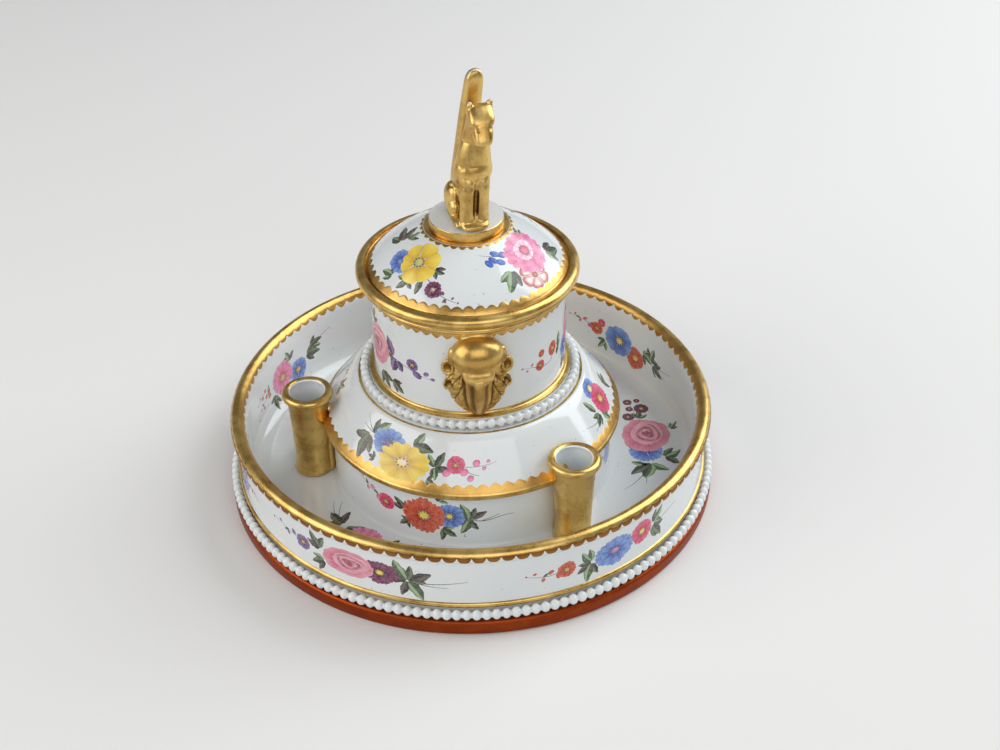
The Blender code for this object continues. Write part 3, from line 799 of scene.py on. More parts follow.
def close_tree(w, geometry, finish, out):
    """Realize the copies, shade them smooth and give them their finish."""
    real = w.node("GeometryNodeRealizeInstances", {"Geometry": geometry})
    smooth = w.node("GeometryNodeSetShadeSmooth", {0: real.outputs["Geometry"]})
    coloured = w.node("GeometryNodeSetMaterial", {"Geometry": smooth.outputs[0], "Material": finish})
    w.feed(out["Geometry"], coloured.outputs["Geometry"])


def make_pearl_tree():
    tree, w, given, out = new_group(
        "pearl_string", "GeometryNodeTree",
        [("Ring Radius", "Float"), ("Height", "Float"), ("Pearl", "Float"), ("Count", "Int"),
         ("Tall", "Float"), ("Seed", "Int"), ("Finish", "Material")],
        [("Geometry", "Geometry")])
    ring = w.node("GeometryNodeMeshCircle", {"Vertices": given["Count"], "Radius": given["Ring Radius"]})
    lift = w.node("ShaderNodeCombineXYZ", {"Z": given["Height"]})
    raised = w.node("GeometryNodeSetPosition", {
        "Geometry": ring.outputs["Mesh"], "Offset": lift.outputs["Vector"]}).outputs["Geometry"]
    bead = w.node("GeometryNodeMeshUVSphere", {
        "Segments": BEAD_SEGMENTS, "Rings": BEAD_RINGS, "Radius": w.times(given["Pearl"], 0.5)})
    odd = w.node("FunctionNodeRandomValue", {
        2: BEAD_SMALLEST, 3: BEAD_LARGEST, "Seed": given["Seed"]}, data_type="FLOAT").outputs[1]
    size = w.node("ShaderNodeCombineXYZ", {"X": odd, "Y": odd, "Z": given["Tall"]})
    spread = w.node("GeometryNodeInstanceOnPoints", {
        "Points": raised, "Instance": bead.outputs["Mesh"], "Scale": size.outputs["Vector"]})
    core_line = w.node("GeometryNodeMeshToCurve", {"Mesh": raised})
    core_round = w.node("GeometryNodeCurvePrimitiveCircle", {
        "Resolution": CORE_SIDES, "Radius": w.times(given["Pearl"], CORE_SHARE)})
    core = w.node("GeometryNodeCurveToMesh", {
        "Curve": core_line.outputs["Curve"], "Profile Curve": core_round.outputs["Curve"]})
    both = w.node("GeometryNodeJoinGeometry")
    for part in (core.outputs["Mesh"], spread.outputs["Instances"]):
        w.feed(both.inputs["Geometry"], part)
    close_tree(w, both.outputs["Geometry"], given["Finish"], out)
    return tree


def weld(mesh, closed=False):
    """Join points that lie on each other, and turn a closed shell the right way round."""
    bm = bmesh.new()
    bm.from_mesh(mesh)
    bmesh.ops.remove_doubles(bm, verts=bm.verts, dist=WELD)
    if closed:
        bmesh.ops.recalc_face_normals(bm, faces=bm.faces)
    bm.to_mesh(mesh)
    bm.free()


pearl_tree = make_pearl_tree()
TRAY_PEARL, TRAY_PITCH = 3.0, 2.84
POT_PEARL, POT_PITCH = 2.7, 2.81
PEARL_INSET = 0.1


def pearls(name, node, bead, pitch, seed):
    low, high, radius = span(node)
    ring = radius - bead / 2
    count = 4 * round(2 * math.pi * ring / pitch / 4)
    tall = (high - low) / bead
    mesh = run_tree(pearl_tree, name, {
        "Ring Radius": ring * MM, "Height": (low + high) / 2 * MM, "Pearl": (bead - PEARL_INSET) * MM,
        "Count": count, "Tall": tall, "Seed": seed, "Finish": FINISH["pearl"]})
    weld(mesh, closed=True)
    finished(name, mesh, "stand", [node])
    print(name, count, "pearls", len(mesh.polygons), "faces")


pearls("pearls_of_tray", "tray_pearls", TRAY_PEARL, TRAY_PITCH, seed=5)
pearls("pearls_of_pot", "inkpot_pearls", POT_PEARL, POT_PITCH, seed=8)


# %% [markdown]
# ## Gilt teeth
# Most gilt edges end in a row of small hand-drawn teeth. One tree lays a thin band between two
# rings, and pushes its free side in and out with the turn about the axis, each tooth a little
# longer or shorter than the next. The band lies a hair above the glaze, with its edges sunk in it,
# and can bulge with a round surface. Outside the rim it starts a little way up on the gold.

# %%
# Geometry Nodes: a gilt band with teeth
POINTS_PER_TOOTH = 10
POINTS_ACROSS = 6
TOOTH_SHORTEST = 0.72
SUNK_SHARE = 0.6


def make_teeth_tree():
    tree, w, given, out = new_group(
        "toothed_band", "GeometryNodeTree",
        [("Edge Radius", "Float"), ("Edge Height", "Float"), ("Tip Radius", "Float"),
         ("Tip Height", "Float"), ("Out Radius", "Float"), ("Out Height", "Float"), ("Teeth", "Int"),
         ("Tooth", "Float"), ("Point", "Float"), ("Lift", "Float"), ("Bulge", "Float"), ("Seed", "Int"),
         ("Finish", "Material")],
        [("Geometry", "Geometry")])
    columns = w.plus(w.times(given["Teeth"], POINTS_PER_TOOTH), 1.0)
    sheet = w.node("GeometryNodeMeshGrid", {"Vertices X": columns, "Vertices Y": POINTS_ACROSS})
    place = w.node("ShaderNodeSeparateXYZ", {0: w.node("GeometryNodeInputPosition").outputs[0]}).outputs
    along = w.plus(place["X"], 0.5)
    across = w.plus(place["Y"], 0.5)
    turn = w.times(along, 2 * math.pi)
    tooth = w.times(along, given["Teeth"])
    index = w.math("FLOOR", w.plus(tooth, 0.001))
    phase = w.less(tooth, index)
    odd = w.node("FunctionNodeRandomValue", {
        2: TOOTH_SHORTEST, 3: 1.0, "ID": w.math("MODULO", index, given["Teeth"]), "Seed": given["Seed"],
    }, data_type="FLOAT").outputs[1]
    fall = w.math("POWER", w.math("ABSOLUTE", w.less(w.times(phase, 2.0), 1.0)), given["Point"])
    wave = w.times(w.less(1.0, fall), odd)
    reach = w.plus(w.less(1.0, given["Tooth"]), w.times(given["Tooth"], wave))
    share = w.times(across, reach)
    radius = w.mix(share, given["Edge Radius"], given["Tip Radius"])
    height = w.mix(share, given["Edge Height"], given["Tip Height"])
    inner = w.math("MINIMUM", w.steps(across, 0.0, 0.18), w.steps(across, 1.0, 0.82))
    lift = w.times(given["Lift"], w.less(w.times(inner, 1.0 + SUNK_SHARE), SUNK_SHARE))
    swell = w.times(w.times(share, w.less(1.0, share)), 4.0)
    lift = w.plus(lift, w.times(given["Bulge"], swell))
    radius = w.plus(radius, w.times(lift, given["Out Radius"]))
    height = w.plus(height, w.times(lift, given["Out Height"]))
    spot = w.node("ShaderNodeCombineXYZ", {
        "X": w.times(radius, w.math("COSINE", turn)), "Y": w.times(radius, w.math("SINE", turn)),
        "Z": height})
    moved = w.node("GeometryNodeSetPosition", {
        "Geometry": sheet.outputs["Mesh"], "Position": spot.outputs["Vector"]})
    close_tree(w, moved.outputs["Geometry"], given["Finish"], out)
    return tree


teeth_tree = make_teeth_tree()


def turn_towards(mesh, out_radius, out_height):
    """Make an open band's faces look the way that the surface under it looks."""
    total = 0.0
    for face in mesh.polygons:
        c = face.center
        away = Vector((c.x, c.y, 0.0)).normalized() * out_radius + Vector((0, 0, out_height))
        total += face.normal.dot(away) * face.area
    if total < 0:
        mesh.flip_normals()


def toothed_band(name, body, edge, tip, pitch, tooth, seed, point=1.5, inside=False, lift=0.05, bulge=0.0,
                 finish="teeth"):
    """A gilt band from a ring at edge to tooth tips at tip, both (radius, height) in millimetres."""
    run = Vector(tip) - Vector(edge)
    out = Vector((-run.y, run.x)).normalized()
    if inside:
        if out.x > 0:
            out = -out
    elif out.x < 0 or (abs(out.x) < AXIS and out.y < 0):
        out = -out
    teeth = round(2 * math.pi * (edge[0] + tip[0]) / 2 / pitch)
    mesh = run_tree(teeth_tree, name, {
        "Edge Radius": edge[0] * MM, "Edge Height": edge[1] * MM, "Tip Radius": tip[0] * MM,
        "Tip Height": tip[1] * MM, "Out Radius": out.x, "Out Height": out.y, "Teeth": teeth,
        "Tooth": tooth, "Point": point, "Lift": lift * MM, "Bulge": bulge * MM, "Seed": seed,
        "Finish": FINISH[finish]})
    weld(mesh)
    turn_towards(mesh, out.x, out.y)
    finished(name, mesh, body)
    print(name, teeth, "teeth")


slope_way = slope.normalized()
drum_start = tuple(Vector(edge_end) - slope_way * 0.2)
drum_end = tuple(Vector(edge_end) + slope_way * 3.6)
band_start = TEETH_START + TEETH_OVERLAP
roll_start = on_arc(roll_middle, RIM_ROLL, band_start)
roll_end = on_arc(roll_middle, RIM_ROLL, TEETH_END)
roll_swell = RIM_ROLL * (1 - math.cos(math.radians((band_start - TEETH_END) / 2)))
toothed_band("teeth_rim_inside", "stand", crest_end, flank_foot, pitch=4.05, tooth=0.48, seed=11,
             point=2.0, inside=True, lift=0.07, bulge=FLANK_SWELL)
# The teeth outside, under the roll, are darkened with painted shade.
toothed_band("teeth_rim_outside", "stand", roll_start, roll_end, pitch=4.05, tooth=0.85, seed=12,
             point=2.4, lift=0.07, bulge=roll_swell, finish="painted_shade_teeth")
toothed_band("teeth_drum", "stand", drum_start, drum_end, pitch=3.67, tooth=0.42, seed=13)
toothed_band("teeth_pot", "stand", (POT_RADIUS, pot_high - 2.6), (POT_RADIUS, pot_high - 5.0),
             pitch=3.2, tooth=0.65, seed=14)
toothed_band("teeth_cover", "lid", dome_edge, dome_line[2], pitch=3.35, tooth=0.45, seed=15,
             point=2.0, lift=0.09)
toothed_band("teeth_disc_ring", "lid", (DOME_TOP - 0.3, cover_high), dome_line[13], pitch=2.6,
             tooth=0.6, seed=16, point=2.0, lift=0.10)


# %% [markdown]
# ## Modelled pieces
# The cat and the masks were pressed in moulds, cleaned with a knife and softened by gold and glaze.
# Here they begin as overlapping lumps. A voxel remesh melts the lumps into one skin, a few rounds
# of smoothing take off the steps, and grooves are pressed in afterwards where the knife went.

# %%
# Lumps, limbs and the melting of them
STATION_PARTS = 5
SOFTENING = 0.5
# A groove this deep gets the full painted shade.
FULL_PAINTED_SHADE_DEPTH = 0.5


def lump(bm, centre, radii, place, steps=24):
    """An egg-shaped lump."""
    made = bmesh.ops.create_uvsphere(bm, u_segments=steps, v_segments=steps // 2, radius=1.0)
    for vert in made["verts"]:
        vert.co = place(*[centre[i] + vert.co[i] * radii[i] for i in range(3)])


def limb(bm, stations, place, sides=20, across=(1.0, 0.0, 0.0), square=1.0):
    """A lump swept through stations of (centre, half across, half other way).

    A square of 1 gives round sections, less gives flatter sides.
    """
    centres = [Vector(station[0]) for station in stations]
    side = Vector(across)
    rings = []
    for i, (centre, half_side, half_front) in enumerate(stations):
        ahead = centres[min(i + 1, len(centres) - 1)] - centres[max(i - 1, 0)]
        front = ahead.cross(side).normalized()
        ring = []
        for k in range(sides):
            turn = 2 * math.pi * k / sides
            c = math.copysign(abs(math.cos(turn)) ** square, math.cos(turn))
            s = math.copysign(abs(math.sin(turn)) ** square, math.sin(turn))
            spot = Vector(centre) + side * half_side * c + front * half_front * s
            ring.append(bm.verts.new(place(*spot)))
        rings.append(ring)
    for a, b in zip(rings, rings[1:]):
        for k in range(sides):
            n = (k + 1) % sides
            bm.faces.new((a[k], a[n], b[n], b[k]))
    bm.faces.new(rings[0])
    bm.faces.new(rings[-1])


def smooth_stations(stations):
    """More stations between the given ones, on a smooth curve through them."""
    rows = np.array([(*centre, a, b) for centre, a, b in stations], float)
    rows = np.vstack((2 * rows[0] - rows[1], rows, 2 * rows[-1] - rows[-2]))
    fine = []
    for i in range(1, len(rows) - 2):
        p0, p1, p2, p3 = rows[i - 1:i + 3]
        for j in range(STATION_PARTS):
            t = j / STATION_PARTS
            fine.append(0.5 * (2 * p1 + (p2 - p0) * t + (2 * p0 - 5 * p1 + 4 * p2 - p3) * t * t
                               + (3 * p1 - p0 - 3 * p2 + p3) * t ** 3))
    fine.append(rows[-2])
    return [((r[0], r[1], r[2]), max(r[3], 0.1), max(r[4], 0.1)) for r in fine]


def mark(mesh, name, shares):
    """Keep a share for every point of a mesh, for its finish to read."""
    mesh.attributes.new(name, "FLOAT", "POINT").data.foreach_set("value", shares.astype(np.float32))


def melted(name, bm, grain, rounds, press=None, worn=()):
    """Melt lumps into one gilt skin and press the grooves into it; returns a plain mesh.

    Worn places are (spot, reach) pairs in metres, where the gold has rubbed through.
    """
    bmesh.ops.recalc_face_normals(bm, faces=bm.faces)
    rough = bpy.data.meshes.new(name)
    bm.to_mesh(rough)
    bm.free()
    host = bpy.data.objects.new(name + "_lumps", rough)
    bpy.context.scene.collection.objects.link(host)
    melt = host.modifiers.new("melt", "REMESH")
    melt.mode = "VOXEL"
    melt.voxel_size = grain * MM
    soften = host.modifiers.new("soften", "SMOOTH")
    soften.factor = SOFTENING
    soften.iterations = rounds
    ready = bpy.context.evaluated_depsgraph_get()
    mesh = bpy.data.meshes.new_from_object(host.evaluated_get(ready), depsgraph=ready)
    mesh.name = name
    bpy.data.objects.remove(host)
    spots = np.empty(len(mesh.vertices) * 3, np.float32)
    mesh.vertices.foreach_get("co", spots)
    if press:
        ways = np.empty(len(spots), np.float32)
        mesh.vertex_normals.foreach_get("vector", ways)
        before, ways = spots.reshape(-1, 3).astype(float), ways.reshape(-1, 3).astype(float)
        sunk = press(before / MM, ways) * MM
        depth = ((before - sunk) * ways).sum(1) / MM
        spots = sunk.astype(np.float32).ravel()
        mesh.vertices.foreach_set("co", spots)
        # The depth of each groove is kept so that the gold can paint shade into it.
        mark(mesh, "painted_hollow_shade", np.clip(depth / FULL_PAINTED_SHADE_DEPTH, 0, 1))
        mesh.update()
    if worn:
        share = np.zeros(len(mesh.vertices), np.float32)
        for spot, reach in worn:
            away = np.linalg.norm(spots.reshape(-1, 3) - np.array(spot, np.float32), axis=1)
            share = np.maximum(share, np.exp(-(away / reach) ** 4))
        mark(mesh, "worn", share)
    mesh.materials.clear()
    mesh.materials.append(FINISH["cast"])
    mesh.shade_smooth()
    return mesh


def pressed(distance, width):
    """How deep a groove is at a distance from its line: 1 on the line, falling to 0."""
    return np.exp(-(np.asarray(distance) / width) ** 2)


print("carving helpers ready")


# %%
# Model the seated cat
CAT_TURN = math.radians(16.0)
CAT_LEAN = 0.11
CAT_OFFSET = 0.1
CAT_FORWARD = 1.0
HEAD_LIFT = 1.0
cat_base = span("cat_body")[0]


def cat_place(side, front, height):
    """From the cat's own side, front and height, in millimetres, to the stand."""
    return Vector((
        (CAT_OFFSET + CAT_LEAN * height + side * math.cos(CAT_TURN) + front * math.sin(CAT_TURN)) * MM,
        (side * math.sin(CAT_TURN) - front * math.cos(CAT_TURN) - CAT_FORWARD) * MM,
        (cat_base + height) * MM))


def cat_own(spots):
    """The way back: side, front and height of places on the stand."""
    height = spots[:, 2] - cat_base
    x = spots[:, 0] - CAT_OFFSET - CAT_LEAN * height
    y = spots[:, 1] + CAT_FORWARD
    return (x * math.cos(CAT_TURN) + y * math.sin(CAT_TURN),
            x * math.sin(CAT_TURN) - y * math.cos(CAT_TURN), height)


def cat_body():
    bm = bmesh.new()
    # The trunk and neck, and the chest.
    limb(bm, smooth_stations([
        ((0, -3.0, 0.25), 3.6, 4.3), ((0, -2.9, 3.6), 4.3, 4.8), ((0, -2.0, 8.6), 4.5, 4.7),
        ((0, -0.2, 12.4), 4.8, 4.3), ((0, 1.0, 15.2), 5.4, 4.7), ((0, 1.0, 18.4), 5.1, 4.4),
        ((0, 0.7, 22.2), 4.5, 3.9), ((0, 0.7, 24.6), 3.7, 3.3), ((0, 0.7, 25.4), 3.0, 2.7)]), cat_place)
    lump(bm, (0, 2.3, 15.5), (5.1, 3.9, 4.4), cat_place)
    # Shoulders and forelegs, and the forepaws side by side.
    for side in (-1, 1):
        lump(bm, (side * 3.5, 1.4, 15.3), (2.1, 3.1, 4.0), cat_place)
        limb(bm, smooth_stations([
            ((side * 1.95, 6.9, 0.3), 2.35, 2.4), ((side * 1.95, 6.2, 3.4), 2.3, 2.2),
            ((side * 1.95, 5.2, 8.5), 2.3, 2.2), ((side * 2.0, 4.2, 12.5), 2.45, 2.3),
            ((side * 2.3, 2.4, 15.4), 2.6, 2.4)]), cat_place)
    limb(bm, smooth_stations([
        ((0, 4.6, 0.9), 4.0, 0.9), ((0, 6.6, 1.5), 4.25, 1.6), ((0, 8.4, 1.15), 4.15, 1.2),
        ((0, 9.7, 0.75), 3.4, 0.8), ((0, 10.2, 0.6), 2.2, 0.5)]), cat_place, square=0.8)
    # Haunches and hind feet, a little different on each side.
    for side, hip, foot, size, back in ((-1, 4.3, 7.4, 0.96, -2.6), (1, 4.6, 3.6, 0.9, -3.4)):
        lump(bm, (side * hip, back, 6.3 * size), (2.2 * size, 4.0 * size, 4.4 * size), cat_place)
        lump(bm, (side * hip, back + 2.2, 3.6 * size), (1.8, 3.4 * size, 3.0 * size), cat_place)
        limb(bm, smooth_stations([
            ((side * (hip - 0.1), -3.0, 1.15), 1.3, 0.9), ((side * hip, 0.6, 1.3), 1.4, 1.1),
            ((side * hip, foot - 1.8, 1.15), 1.3, 1.0),
            ((side * (hip - 0.1), foot, 0.8), 1.2, 0.7)]), cat_place)

    def press(spots, ways):
        side, front, height = cat_own(spots)
        gap = np.clip((height - 3.2) / 1.6, 0, 1) * np.clip((11.8 - height) / 1.6, 0, 1)
        # The gap between the forelegs, a crease over them and a line round each haunch.
        deep = 0.7 * pressed(side, 0.6) * gap * (front > 3.0)
        crease = 0.12 * pressed(height - 12.2 - 0.03 * side ** 2, 0.7) * (front > 2.5) * (np.abs(side) < 5.0)
        haunch = 0.22 * pressed(np.hypot(front - 0.4, height - 5.4) - 4.6, 0.5)
        haunch = haunch * (np.abs(side) > 3.6) * (front < 3)
        return spots - ways * (deep + crease + haunch)[:, None]

    mesh = melted("cat_sitting_body", bm, grain=0.24, rounds=6, press=press)
    finished("cat_sitting_body", mesh, "lid", ["cat_body"])
    print("cat body", len(mesh.polygons), "faces")


def cat_head():
    def on_neck(side, front, height):
        return cat_place(side, front, height + HEAD_LIFT)

    bm = bmesh.new()
    # Neck and back of the head, forehead, muzzle, lower jaw and nose.
    limb(bm, smooth_stations([
        ((0, 0.7, 22.8), 3.5, 3.0), ((0, 0.7, 24.4), 3.9, 3.4), ((0, 0.9, 27.4), 3.45, 3.2),
        ((0, 1.1, 30.5), 3.4, 3.1), ((0, 0.8, 33.0), 3.0, 2.3)]), on_neck)
    limb(bm, smooth_stations([
        ((0, 0.3, 33.2), 3.2, 1.3), ((0, 1.9, 32.6), 3.55, 1.9), ((0, 3.6, 31.5), 3.65, 2.2),
        ((0, 4.9, 30.2), 3.55, 2.2), ((0, 5.5, 29.4), 3.1, 2.0)]), on_neck, square=0.6)
    limb(bm, smooth_stations([
        ((0, 4.4, 30.2), 2.9, 2.3), ((0, 6.0, 28.6), 2.8, 2.15), ((0, 7.5, 27.0), 2.65, 1.85),
        ((0, 8.5, 25.9), 2.35, 1.4), ((0, 8.8, 25.3), 1.9, 1.0)]), on_neck, square=0.66)
    limb(bm, smooth_stations([
        ((0, 2.4, 27.4), 2.4, 1.5), ((0, 5.0, 25.8), 2.3, 1.2), ((0, 7.2, 24.6), 1.9, 0.85)]), on_neck)
    lump(bm, (0, 9.0, 26.2), (0.75, 0.55, 0.45), on_neck)
    # The ears.
    for side in (-1, 1):
        limb(bm, smooth_stations([
            ((side * 2.4, 1.4, 32.2), 1.5, 1.3), ((side * 2.7, 1.5, 33.8), 1.15, 1.05),
            ((side * 2.85, 1.5, 34.8), 0.85, 0.8), ((side * 2.9, 1.5, 35.4), 0.45, 0.45)]), on_neck)

    def press(spots, ways):
        side, front, height = cat_own(spots)
        height = height - HEAD_LIFT
        mouth = 0.42 * pressed(height - 24.9 - (9.0 - front) * 0.42, 0.26) * (front > 4.6) * (height < 27.6)
        eyes = 0.18 * pressed(np.hypot(np.abs(side) - 1.9, height - 29.6), 0.5) * (front > 5.4)
        return spots - ways * (mouth + eyes)[:, None]

    # The gold is worn on the tips of the ears and the nose.
    worn = [(on_neck(side * 2.9, 1.7, 35.3), 0.0006) for side in (-1, 1)]
    worn += [(on_neck(0, 9.4, 26.2), 0.0006)]
    mesh = melted("cat_sitting_head", bm, grain=0.2, rounds=4, press=press, worn=worn)
    finished("cat_sitting_head", mesh, "lid", ["cat_head"])
    print("cat head", len(mesh.polygons), "faces")


def cat_tail():
    top = span("cat_tail")[1] - cat_base
    bm = bmesh.new()
    limb(bm, smooth_stations([
        ((0, -9.7, 0.5), 1.5, 1.2), ((0, -9.7, 0.07 * top), 2.2, 1.6), ((0, -8.9, 0.22 * top), 2.8, 1.8),
        ((0, -7.1, 0.38 * top), 3.2, 1.9), ((0, -6.3, 0.52 * top), 3.2, 2.0),
        ((0, -6.0, 0.70 * top), 3.0, 1.9), ((0, -5.5, 0.84 * top), 2.75, 1.8),
        ((0, -5.2, 0.925 * top), 2.6, 1.7), ((0, -5.15, 0.96 * top), 2.2, 1.5),
        ((0, -5.1, 0.985 * top), 1.5, 1.1), ((0, -5.1, top), 0.4, 0.4)]), cat_place, sides=28, square=0.6)
    # The gold is worn along the edge of the tail's round top.
    worn = [(cat_place(2.3 * math.cos(turn), -4.6, (0.945 + 0.052 * math.sin(turn)) * top), 0.00034)
            for turn in np.linspace(0.1, math.pi, 25)]
    mesh = melted("cat_standing_tail", bm, grain=0.22, rounds=3, worn=worn)
    finished("cat_standing_tail", mesh, "lid", ["cat_tail"])
    print("cat tail", len(mesh.polygons), "faces")


cat_body()
cat_head()
cat_tail()


# %% [markdown]
# ## Eagle masks
# Front and back, an eagle's head looks out of the pot. A smooth skull runs up under the rim, and a
# fine brow crosses over a blunt beak with a hollow down each side. Feathers fan out below, with two
# curls at either side. It is modelled flat, as side, reach and height, and wrapped round the pot.

# %%
# Model the two masks
MASKS = {"front": 274.0, "back": 94.0}
MASK_HEIGHT = 57.0
FEATHER_CURLS = ((8.3, 3.3, 2.1), (8.1, -2.4, 1.8))
FEATHER_GROOVES = (24, 36, 48, 60)
STANDING_OUT = (0.0, 1.0, 0.0)
CLEAR_OF_WALL = 0.02


def eagle_mask(name, azimuth):
    middle = math.radians(azimuth)

    def on_pot(side, out, height):
        turn = middle + side / POT_RADIUS
        r = POT_RADIUS + out
        return Vector((r * math.cos(turn) * MM, r * math.sin(turn) * MM, (MASK_HEIGHT + height) * MM))

    bm = bmesh.new()
    # The bed of feathers, the skull and its crown under the rim.
    lump(bm, (0, 0.1, -1.8), (9.2, 2.0, 11.8), on_pot, steps=36)
    lump(bm, (0, 0.5, -4.0), (7.0, 2.4, 8.8), on_pot, steps=36)
    lump(bm, (0, 1.0, 7.7), (7.4, 6.0, 6.2), on_pot, steps=48)
    lump(bm, (0, 0.0, 12.8), (4.8, 1.3, 2.8), on_pot, steps=36)
    # The brow, the forehead, the beak and the ridge along it.
    limb(bm, smooth_stations([
        ((-4.9, 3.9, 3.8), 0.3, 0.35), ((-4.0, 4.9, 5.0), 0.4, 0.4), ((-1.8, 5.5, 5.5), 0.4, 0.4),
        ((0, 5.5, 5.0), 0.4, 0.4), ((1.8, 5.5, 5.5), 0.4, 0.4), ((4.0, 4.9, 5.0), 0.4, 0.4),
        ((4.9, 3.9, 3.8), 0.3, 0.35)]), on_pot, sides=12, across=STANDING_OUT)
    limb(bm, smooth_stations([
        ((0, 3.0, 5.8), 4.4, 1.8), ((0, 4.2, 4.4), 4.3, 1.7), ((0, 5.3, 2.9), 3.8, 1.6),
        ((0, 5.4, 1.6), 3.4, 1.5)]), on_pot, sides=24, square=0.6)
    limb(bm, smooth_stations([
        ((0, 3.6, 3.6), 3.4, 2.6), ((0, 4.0, 1.6), 3.0, 2.8), ((0, 4.1, -1.6), 2.8, 2.7),
        ((0, 3.7, -4.8), 2.75, 2.5), ((0, 3.0, -7.8), 2.6, 2.3), ((0, 2.3, -10.4), 2.1, 1.8),
        ((0, 1.6, -12.2), 1.2, 1.1)]), on_pot, sides=24, square=0.9)
    limb(bm, smooth_stations([
        ((0, 6.6, 2.0), 1.3, 0.7), ((0, 6.6, -1.6), 1.25, 0.7), ((0, 5.9, -4.8), 1.15, 0.65),
        ((0, 4.9, -7.8), 0.95, 0.6), ((0, 3.6, -10.6), 0.6, 0.5), ((0, 2.4, -12.0), 0.4, 0.4)]), on_pot,
        sides=12, square=0.6)
    # At each side: the temple, the border beside the beak and two curls.
    for flip in (-1, 1):
        lump(bm, (flip * 7.0, 1.5, 7.3), (1.1, 1.5, 3.0), on_pot, steps=20)
        limb(bm, smooth_stations([
            ((flip * 4.1, 3.2, 3.4), 0.4, 0.6), ((flip * 3.2, 3.7, 0.4), 0.4, 0.6),
            ((flip * 3.0, 3.5, -3.4), 0.4, 0.65), ((flip * 2.85, 3.0, -7.0), 0.4, 0.65),
            ((flip * 2.3, 2.4, -10.2), 0.4, 0.6), ((flip * 1.2, 1.9, -12.3), 0.4, 0.55)]),
            on_pot, sides=12, across=STANDING_OUT)
        for side, height, size in FEATHER_CURLS:
            ring = []
            for k in range(13):
                turn = math.radians(-200 + 300 * k / 12)
                ring.append(((flip * (side + 0.66 * size * math.cos(turn)), 1.8 - 0.05 * k,
                              height + 1.0 * size * math.sin(turn)), 0.42, 0.55))
            limb(bm, ring, on_pot, sides=10, across=STANDING_OUT)
            lump(bm, (flip * side, 0.3, height), (size * 0.8, 1.1, size), on_pot, steps=16)

    def press(spots, ways):
        turn = np.arctan2(spots[:, 1], spots[:, 0]) - middle
        turn = (turn + math.pi) % (2 * math.pi) - math.pi
        side, height = turn * POT_RADIUS, spots[:, 2] - MASK_HEIGHT
        out = np.hypot(spots[:, 0], spots[:, 1]) - POT_RADIUS
        # Hollows down the beak, the eyes of the curls, feathers that fan out, and their tiers.
        half = np.interp(height, (-12.6, -10.4, -7.8, -4.8, -1.6, 1.6), (1.3, 2.2, 2.7, 2.9, 3.0, 3.3))
        across = np.abs(side) / half
        beak = np.clip((1.2 - height) / 1.2, 0, 1) * np.clip((height + 12.0) / 1.5, 0, 1)
        hollows = 0.55 * pressed(across - 0.62, 0.26) * beak * (across < 1.05)
        hollows += 0.7 * pressed(np.abs(side) - half - 0.85, 0.4) * beak
        curls = sum(0.8 * pressed(np.hypot((np.abs(side) - place) / 0.75, height - level), 0.5 * size)
                    for place, level, size in FEATHER_CURLS)
        below = np.degrees(np.arctan2(np.abs(side), 7.0 - height))
        arm = np.hypot(side, height - 7.0)
        low_down = (height < 1.0) * (np.abs(side) > half + 1.0) * (out < 3.2)
        feathers = np.zeros_like(side)
        for groove in FEATHER_GROOVES:
            feathers += 0.46 * pressed((below - groove) * arm * math.pi / 180, 0.26) * low_down
        waves = (arm * 0.36 + 0.3 * np.cos(np.radians(below * 30.0))) % 1.0 - 0.5
        tiers = 0.38 * pressed(waves, 0.09) * low_down
        spots = spots - ways * (hollows + curls + feathers + tiers)[:, None]
        # No point sinks into the pot's wall.
        reach = np.hypot(spots[:, 0], spots[:, 1])
        grow = np.maximum(reach, POT_RADIUS + CLEAR_OF_WALL) / reach
        spots[:, :2] *= grow[:, None]
        return spots

    mesh = melted("eagle_head_" + name, bm, grain=0.26, rounds=2, press=press)
    finished("eagle_head_" + name, mesh, "stand", ["eagle_mask_" + name])
    print("eagle head", name, len(mesh.polygons), "faces")


for name, azimuth in MASKS.items():
    eagle_mask(name, azimuth)


# %% [markdown]
# ## Where the tubes stand
# Each tube was stuck to the tray and to the drum with slip. The join shows as a small swelling at
# the foot, a gilt web down to the tray and a rounded knob on the drum's edge.

# %%
# Model the seats of the tubes
SEAT_RISE = 22.6
KNOB_TOP = 29.2


def tube_seat(side):
    node = "quill_tube_seat_" + side
    low = span(node)[0]
    x, y = tube_place("quill_tube_" + side)
    turn = math.atan2(y, x)
    away = math.hypot(x, y)

    def beside(across, out, height):
        r = away + out
        return Vector(((r * math.cos(turn) - across * math.sin(turn)) * MM,
                       (r * math.sin(turn) + across * math.cos(turn)) * MM, height * MM))

    bm = bmesh.new()
    ring = []
    for r, z in ((5.8, low), (6.05, low + 0.7), (5.95, low + 1.4), (5.6, low + 2.1)):
        ring.append(((0, 0, z), r, r))
    limb(bm, ring, beside, sides=48)
    inward = DRUM_RADIUS + 0.1 - away
    limb(bm, [((0, inward + 1.2, low), 3.2, 1.3), ((0, inward + 1.2, low + 3.0), 2.4, 1.3),
              ((0, inward + 1.0, SEAT_RISE), 2.4, 1.1)], beside, sides=16, square=0.8)
    mesh = melted("tube_seat_" + side, bm, grain=0.3, rounds=2)
    finished("tube_seat_" + side, mesh, "stand", [node])

    bm = bmesh.new()
    limb(bm, smooth_stations([
        ((0, inward + 1.0, KNOB_TOP - 2.4), 2.2, 1.5), ((0, inward + 0.6, KNOB_TOP - 1.0), 1.9, 1.5),
        ((0, inward + 0.5, KNOB_TOP), 1.2, 1.0)]), beside)
    mesh = melted("tube_knob_" + side, bm, grain=0.25, rounds=3)
    finished("tube_knob_" + side, mesh, "stand")
    print("seat", side, "at", round(math.degrees(turn), 1), "degrees")


for side in TUBES:
    tube_seat(side)


